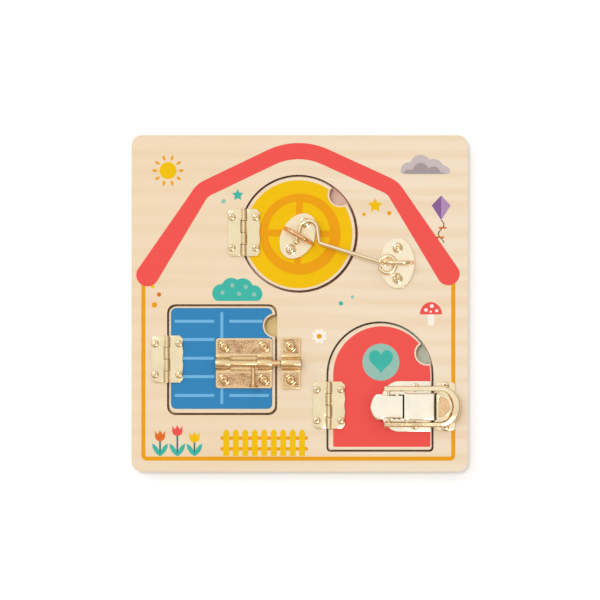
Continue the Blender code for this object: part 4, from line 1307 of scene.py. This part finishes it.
# Hook and eye

def staple_path(centre, angle, span, height, bend):
    half = span / 2
    left = [(-half, STAPLE_FOOT)] + arc(-half + bend, height - bend, bend, math.pi, QUARTER)
    along = Vector((math.cos(angle), math.sin(angle)))
    return [(*(centre + along * across), FACE + up) for across, up in left + mirrored(left)]


def oval(centre, angle, long_half, short_half):
    points = [(px * short_half, py * long_half) for px, py in circle(0, 0, 1, RING_STEPS)]
    return turned(points, angle, *centre)


def hook_plates():
    """Both oval plates and their staples; the door's pair is turned."""
    frame_looks = (0.0, 1, FRAME_STAPLE_SPAN, FRAME_STAPLE_BEND, WARM, BRIGHT)
    door_looks = (DOOR_PLATE_TILT, DOOR_PLATE_SHARE, DOOR_STAPLE_SPAN, DOOR_STAPLE_BEND, PLATE, COPPER)
    for part, looks in (("frame", frame_looks), ("door", door_looks)):
        angle, share, span, bend, inlay, loop = looks
        node = f"hook_{part}_plate"
        low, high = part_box(node)
        centre = Vector(plan_of(node)[:2])
        halves = [size / 2 * share for size in (HOOK_PLATE_LONG, HOOK_PLATE_SHORT)]
        edge = oval(centre, angle, *halves)
        stands_for(plate([edge], low.z, high.z - low.z, PLATE_EDGE), node, BRIGHT)
        inner_edge = oval(centre, angle, *(half - INLAY_INSET for half in halves))
        stands_for(skin([inner_edge], high.z), node, inlay, node + "_inlay")
        node = f"hook_{part}_staple"
        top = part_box(node)[1].z - STAPLE_WIRE - FACE
        stands_for(wire(staple_path(centre, angle, span, top, bend), STAPLE_WIRE), node, loop)


def hook_piece():
    """The hook: a ring, a shank that falls towards the door, and a bent nose with a ball tip."""
    x, y, _ = plan_of("hook_frame_plate")
    eye = Vector((x - RING_BACK, y - RING_DROP))
    door_centre = Vector(plan_of("hook_door_plate")[:2])
    staple = Vector((math.cos(DOOR_PLATE_TILT), math.sin(DOOR_PLATE_TILT)))
    up = Vector((-staple.y, staple.x))
    corners = [door_centre + staple * DOOR_STAPLE_SPAN * across + up * DOOR_STAPLE_SPAN * rise
               for across, rise in HOOK_CORNER_SHARES]
    towards = (corners[0] - eye).normalized()
    start = eye + towards * SHANK_START
    nose = filleted([start] + corners, (KINK_BEND, NOSE_BEND, NOSE_BEND), NOSE_STEPS)
    heading = math.atan2(towards.y, towards.x)
    opening = (HOOK_WIRE * 2 + SEAT) / RING_RADIUS
    ring = arc(*eye, RING_RADIUS, heading + opening - math.tau, heading, RING_STEPS)
    path = []
    for x, y in ring + [tuple(point) for point in nose]:
        away = (math.dist((x, y), eye) - RING_RADIUS) / SHANK_FALL_LENGTH
        height = RING_HEIGHT + (NOSE_HEIGHT - RING_HEIGHT) * min(max(away, 0), 1)
        path.append((x, y, FACE + height))
    ball = arc(0, 0, TIP_RADIUS, QUARTER, -QUARTER, NOSE_STEPS)
    tip = revolve(ball, Matrix.Translation(path[-1]))
    stands_for(joined([wire(path, HOOK_WIRE), tip]), "hook", BRIGHT)


# Barrel bolt and keeper

def strap_profile(axis):
    """The pressed strap seen along the rod, with the plate's top at height 0."""
    flare = arc(STRAP_FOOT, STRAP_FOOT_HEIGHT, STRAP_FOOT_HEIGHT, -QUARTER, -2 * QUARTER, FLARE_STEPS)
    outer = flare + arc(0, axis, STRAP_OUTER, 0, math.pi, BOW_STEPS) + mirrored(flare)
    inner = arc(0, axis, STRAP_INNER, math.pi, 0, BOW_STEPS)
    return outer + [(-STRAP_INNER, 0)] + inner + [(STRAP_INNER, 0)]


def strap(left, right, y, plate_top, axis_z):
    middle = ((left + right) / 2, y, plate_top)
    profile = strap_profile(axis_z - plate_top)
    return flat_solid([profile], middle, right - left, "YZ", STRAP_EDGE, 2)


def bolt_plate(node):
    outline = box_outline(node, BOLT_PLATE_CORNER)
    return plate([outline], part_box(node)[0].z, BOLT_PLATE_THICKNESS, PLATE_EDGE)


def frosted_fields(node, plate_top, name):
    """The blasted fields on both sides of a plate's strap, inside its polished border."""
    low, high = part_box(node)
    y = plan_of(node)[1]
    fields = []
    for near, far in ((y + FIELD_START, high.y - FIELD_INSET), (low.y + FIELD_INSET, y - FIELD_START)):
        edge = span_box(low.x + FIELD_INSET, high.x - FIELD_INSET, near, far, BOLT_PLATE_CORNER / 2)
        fields.append(skin([edge], plate_top))
    stands_for(joined(fields), node, MOTTLED, name)


def barrel_bolt():
    """Both plates of the bolt with their straps."""
    low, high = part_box("bolt_base")
    middle, y, _ = plan_of("bolt_base")
    knob_x, _, axis_z = JOINTS["bolt_knob_turn"]["pos_m"]
    plate_top = low.z + BOLT_PLATE_THICKNESS
    inner_end = high.x - BOLT_STRAP_LENGTH
    base = bolt_plate("bolt_base")
    pieces = [strap(low.x, low.x + BOLT_STRAP_LENGTH, y, plate_top, axis_z)]
    right_strap = strap(inner_end, high.x, y, plate_top, axis_z)
    slot_half = KNOB_SHAFT + KNOB_PLAY
    slot_right = knob_x + BOLT_THROW + slot_half
    slot = span_box(inner_end - PLATE_EDGE, slot_right, y - STRAP_REACH, y, SEAT)
    pieces.append(cut(right_strap, plate([slot], axis_z - slot_half, 2 * slot_half)))
    run = inner_end - low.x - BOLT_STRAP_LENGTH
    for side in (1, -1):
        place = along_x((middle, y + side * BEAD_OUT, plate_top))
        pieces.append(bar(BEAD_RADIUS, run, place, SEAT))
    stands_for(joined(pieces), "bolt_base", SATIN, "bolt_straps")
    stands_for(base, "bolt_base", SATIN, "bolt_plate")
    frosted_fields("bolt_base", plate_top, "bolt_inlay")
    stands_for(bolt_plate("bolt_keeper"), "bolt_keeper", SATIN, "keeper_plate")
    frosted_fields("bolt_keeper", plate_top, "keeper_inlay")
    low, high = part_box("bolt_keeper")
    y = plan_of("bolt_keeper")[1]
    keeper_strap = strap(low.x, high.x, y, plate_top, axis_z)
    stands_for(keeper_strap, "bolt_keeper", SATIN, "keeper_strap")


def bolt_rod():
    """The rod with its thinner tip, and the knob on it."""
    knob_x, _, axis_z = JOINTS["bolt_knob_turn"]["pos_m"]
    y = plan_of("bolt_keeper")[1]
    low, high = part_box("bolt_rod")
    radius = (high.y - low.y) / 2
    length = high.x - low.x
    shoulder = length - ROD_TIP_LENGTH
    profile = [(0, length), (ROD_TIP - ROD_BEVEL, length), (ROD_TIP, length - ROD_BEVEL)]
    profile += [(ROD_TIP, shoulder), (radius - ROD_BEVEL / 2, shoulder), (radius, shoulder - ROD_BEVEL)]
    profile += [(radius, ROD_BEVEL), (radius - ROD_BEVEL, 0), (0, 0)]
    stands_for(revolve(profile, along_x((low.x, y, axis_z)), TURNED_STEPS), "bolt_rod", SATIN)

    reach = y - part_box("bolt_knob")[0].y
    flare = KNOB_FLARE - KNOB_LIP
    neck = reach - 2 * KNOB_LIP
    profile = [(0, reach - KNOB_DISH), (KNOB_FLARE / 2, reach - KNOB_DISH / 2), (flare, reach)]
    profile += [(KNOB_FLARE, reach - KNOB_LIP), (KNOB_FLARE - KNOB_LIP / 2, neck)]
    for step in range(1, FLANGE_STEPS + 1):
        share = step / FLANGE_STEPS
        swell = (flare - KNOB_SHAFT) * (1 - share) ** 2
        profile.append((KNOB_SHAFT + swell, neck - (KNOB_FLARE_LENGTH - 2 * KNOB_LIP) * share))
    profile += [(KNOB_SHAFT, reach - KNOB_FLARE_LENGTH - KNOB_LIP), (KNOB_SHAFT, radius), (0, radius)]
    stands_for(revolve(profile, along_y((knob_x, y, axis_z))), "bolt_knob", SATIN)


# Toggle latch

def channel(left, right, y, floor, top, half, corner, edge=PLATE_EDGE):
    """A solid with a round-shouldered section, seen along X."""
    section = [(half, 0)] + arc(half - corner, top - floor - corner, corner, 0, QUARTER, CORNER_STEPS)
    middle = ((left + right) / 2, y, floor)
    return flat_solid([section + mirrored(section)], middle, right - left, "YZ", edge)


def side_pair(outline, y, offset, thickness, edge):
    """Two upright plates on both sides of y, from their outline seen along Y."""
    return [flat_solid([outline], (0, place, 0), thickness, "XZ", edge, 2)
            for place in (y + offset, y - offset)]


def toggle_base():
    """The latch's plate with a rounded nose, its box, the rim of the box, two ears, the pin, and a dark brown film
    of painted shade under the lever.
    """
    pivot = Vector(JOINTS["toggle_lever_turn"]["pos_m"])
    low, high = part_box("toggle_base")
    y = pivot.y
    half = (high.y - low.y) / 2
    nose = [(low.x + PLATE_NOSE * (1 + px), y + half * py)
            for px, py in arc(0, 0, 1, QUARTER, 3 * QUARTER, BOW_STEPS)]
    edge = []
    for side, start in ((-1, -QUARTER), (1, 0)):
        middle = (pivot.x + PLATE_AHEAD - PLATE_CORNER, y + side * (half - PLATE_CORNER))
        edge += arc(*middle, PLATE_CORNER, start, start + QUARTER, CORNER_STEPS)
    pieces = [plate([edge + nose], low.z, BOLT_PLATE_THICKNESS, PLATE_EDGE)]
    floor = low.z + BOLT_PLATE_THICKNESS
    top = high.z - RIM_PROUD
    left = high.x - BOX_LENGTH
    rim_left = left - RIM_AHEAD
    box_walls = (left, high.x, top, BOX_HALF, PLATE_EDGE, high.x - BOX_END)
    rim_right = rim_left + RIM_LENGTH
    rim_walls = (rim_left, rim_right, high.z, BOX_HALF + RIM_PROUD, RIM_ROUND, left + RIM_LENGTH)
    for start, end, wall_top, wall_half, bevel, hollow_end in (box_walls, rim_walls):
        shell = channel(start, end, y, floor, wall_top, wall_half, BOX_CORNER, bevel)
        hollow = channel(start - BOX_WALL, hollow_end, y, floor - SEAT, top - BOX_WALL,
                         BOX_HALF - BOX_WALL, BOX_CORNER / 2)
        pieces.append(cut(shell, hollow))
    ear = [(pivot.x - EAR_HALF, floor), (pivot.x + EAR_HALF, floor)]
    ear += arc(pivot.x, pivot.z, EAR_HALF, 0, math.pi, EAR_STEPS)
    ear_out = LEVER_HALF + EAR_GAP + EAR_THICKNESS / 2
    pieces += side_pair(ear, y, ear_out, EAR_THICKNESS, EAR_THICKNESS / 4)
    stands_for(joined(pieces), "toggle_base", CREAM)
    # A dark brown film on the plate under the lever: painted shade in the gaps beside and behind the lever.
    window_half = LEVER_HALF + EAR_GAP
    window = span_box(pivot.x - WINDOW_BACK, left + WINDOW_AHEAD, y - window_half, y + window_half,
                      PLATE_CORNER / 2)
    stands_for(skin([window], floor), "toggle_base", SHADE, "toggle_window")
    low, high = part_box("toggle_lever_pin")
    pin = bar((high.z - low.z) / 2, high.y - low.y, along_y(pivot), LEAF_EDGE)
    stands_for(pin, "toggle_lever_pin", BRIGHT)


def toggle_lever():
    """The finger lever: a broad round tip that dips, a waist and two side flanges."""
    pivot = Vector(JOINTS["toggle_lever_turn"]["pos_m"])
    hinge_point = Vector(JOINTS["toggle_bail_turn"]["pos_m"])
    low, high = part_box("toggle_lever")
    y = pivot.y
    tip_half = (high.y - low.y) / 2
    length = high.x - LEVER_SHORT - low.x
    sections = []
    for step in range(TURNED_STEPS + 1):
        run = length * (step / TURNED_STEPS) ** LEVER_CROWDING
        if run < TIP_DEPTH:
            half = tip_half * math.sqrt(max(1 - (1 - run / TIP_DEPTH) ** 2, TIP_BLUNT))
        else:
            ease = min((run - TIP_DEPTH) / WAIST_RUN, 1)
            half = tip_half + (LEVER_HALF - tip_half) * (3 - 2 * ease) * ease * ease
        x = low.x + run
        top = high.z - TIP_DIP * max(1 - run / TIP_DIP_RUN, 0) ** 2
        section = [(x, y + half * across, top - EDGE_FALL * abs(across) ** EDGE_POWER)
                   for across, _ in arc(0, 0, 1, 0, math.pi)]
        for side in (-1, 1):
            section.append((x, y + side * half * EDGE_INSET, top - LEVER_THICKNESS))
        sections.append(section)
    back = high.x - LEVER_SHORT - SEAT
    under = high.z - LEVER_THICKNESS
    flange = [(back, under), (pivot.x - FLANGE_REACH, under)]
    flange += arc(hinge_point.x, hinge_point.z, FLANGE_HALF, math.pi, 3 * QUARTER, FLANGE_STEPS)
    flange += arc(pivot.x, pivot.z, FLANGE_HALF, 3 * QUARTER, math.tau, FLANGE_STEPS)
    flange_out = LEVER_HALF - FLANGE_THICKNESS / 2 - FLANGE_INSET
    flanges = side_pair(flange + [(back, pivot.z)], y, flange_out, FLANGE_THICKNESS, LEAF_EDGE / 2)
    stands_for(joined([loft(sections)] + flanges), "toggle_lever", CREAM)


def toggle_bail():
    """The loop: two ribbed arms and a wide dished end."""
    pivot = Vector(JOINTS["toggle_bail_turn"]["pos_m"])
    low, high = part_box("toggle_bail")
    y = pivot.y
    outer = (high.y - low.y) / 2
    inner = outer - BAIL_ARM
    bend = high.x - outer
    inner_reach = high.x - BAIL_END - bend
    ring = [((low.x, y + inner), (low.x, y + outer))]
    for px, py in arc(0, 0, 1, QUARTER, -QUARTER, ROUND_STEPS // 2):
        ring.append(((bend + inner_reach * px, y + inner * py), (bend + outer * px, y + outer * py)))
    ring.append(((low.x, y - inner), (low.x, y - outer)))
    sections = []
    for inside, outside in ring:
        section = []
        for across, rise in BAIL_SHARES:
            spot = Vector(inside).lerp(Vector(outside), across)
            section.append((*spot, low.z + (high.z - low.z) * rise))
        sections.append(section)
    pieces = [loft(sections)]
    stub_inside = LEVER_HALF - FLANGE_THICKNESS - SEAT
    for side in (1, -1):
        place = along_y((pivot.x, y + side * (stub_inside + inner) / 2, pivot.z))
        pieces.append(bar(STUB_RADIUS, inner - stub_inside + SEAT, place, SEAT / 2))
    stands_for(joined(pieces), "toggle_bail", BRIGHT)


def boss_outline(x, y, inset):
    """The catch's outline with a straight back and a half round front."""
    reach = BOSS_RADIUS - inset
    back = x - BOSS_BACK + inset
    return arc(x, y, reach, -QUARTER, QUARTER, BOW_STEPS) + [(back, y + reach), (back, y - reach)]


def ledge_outline(left, right, y):
    return span_box(left, right, y - LEDGE_HALF, y + LEDGE_HALF, SEAT)


def catch():
    """The catch's plate, its dished boss, and the ledge under the bail as a dark brown film of painted shade."""
    low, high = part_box("catch_plate")
    y = JOINTS["toggle_lever_turn"]["pos_m"][1]
    ledge_end = low.x + BOSS_START
    base = plate([box_outline("catch_plate", CATCH_CORNER)], low.z, BOLT_PLATE_THICKNESS)
    ledge = [ledge_outline(low.x - SEAT, ledge_end, y)]
    base = cut(base, plate(ledge, low.z - SEAT, BOLT_PLATE_THICKNESS + 2 * SEAT))
    x = ledge_end + BOSS_STRAIGHT
    foot = low.z + BOLT_PLATE_THICKNESS - INK
    dish = high.z - BOSS_RECESS
    boss = cut(plate([boss_outline(x, y, 0)], foot, high.z - foot),
               plate([boss_outline(x, y, BOSS_RIM)], dish, BOSS_RECESS + SEAT))
    pieces = [bake(round_edges(base, PLATE_EDGE)), bake(round_edges(boss, BOSS_EDGE))]
    stands_for(joined(pieces), "catch_plate", BRIGHT)
    # The ledge is a thin dark brown plate: painted shade in the deep slot between the box and the boss.
    ledge = [ledge_outline(low.x, ledge_end, y)]
    stands_for(plate(ledge, low.z, LEAF_THICKNESS), "catch_plate", SHADE, "catch_ledge")
    floor = plate([boss_outline(x, y, BOSS_RIM + BOSS_EDGE)], dish, INK)
    dress(floor, "catch_floor", "board", DULL)


# Stage, lights and camera

def stage():
    shape = bmesh.new()
    bmesh.ops.create_grid(shape, x_segments=1, y_segments=1, size=FLOOR_HALF)
    floor = mesh_object(shape)
    floor.name = "floor"
    floor.location.z = -FLOOR_DROP
    nodes = material_nodes("floor")
    white = nodes.finish(FLOOR_SHADE, FLOOR_ROUGHNESS, Specular_IOR_Level=0.0)
    path = nodes.add("LightPath")
    seen = nodes.math("MAXIMUM", path.outputs["Is Camera Ray"], path.outputs["Is Glossy Ray"])
    seen = nodes.math("MAXIMUM", seen, path.outputs["Is Transmission Ray"])
    nodes.feed(nodes.shader.inputs["Emission Color"], FLOOR_GLOW)
    nodes.feed(nodes.shader.inputs["Emission Strength"], nodes.math("MULTIPLY", seen, FLOOR_LIFT))
    floor.data.materials.append(white)


def lamp(name, place, size, power):
    """A round lamp that points at the board's middle."""
    light = bpy.data.lights.new(name, "AREA")
    light.shape = "DISK"
    light.size = size
    light.energy = power
    obj = link(bpy.data.objects.new(name, light))
    obj.location = place
    obj.rotation_mode = "QUATERNION"
    obj.rotation_quaternion = Vector(place).to_track_quat("Z", "Y")
    return obj


def lights():
    """A soft key lamp, two small lamps for glints and a sky that is bright overhead."""
    lamp("key", *KEY_LAMP).visible_glossy = False
    lamp("glint", *GLINT_LAMP)
    lamp("sparkle", *SPARKLE_LAMP).visible_diffuse = False
    nodes = Nodes(bpy.data.worlds.new("studio"), "Background")
    bpy.context.scene.world = nodes.owner
    direction = nodes.add("TexCoord").outputs["Generated"]
    height = nodes.vector_math("DOT_PRODUCT", direction, SKY_TOP, output="Value")
    nodes.feed(nodes.shader.inputs["Color"], nodes.ramp(height, SKY))


def camera():
    optics = bpy.data.cameras.new("camera")
    optics.lens = CAMERA_LENS
    optics.clip_start = CAMERA_NEAR
    obj = link(bpy.data.objects.new("camera", optics))
    obj.location = CAMERA_PLACE
    bpy.context.scene.camera = obj


dress_wood()
barn_lines()
yellow_prints()
blue_prints()
red_prints()
pictures_behind_doors()
board_motifs()
finish_prints()
all_screws()
hinges()
hook_plates()
hook_piece()
barrel_bolt()
bolt_rod()
toggle_base()
toggle_lever()
toggle_bail()
catch()
stage()
lights()
camera()
bpy.context.scene.view_settings.view_transform = "Standard"
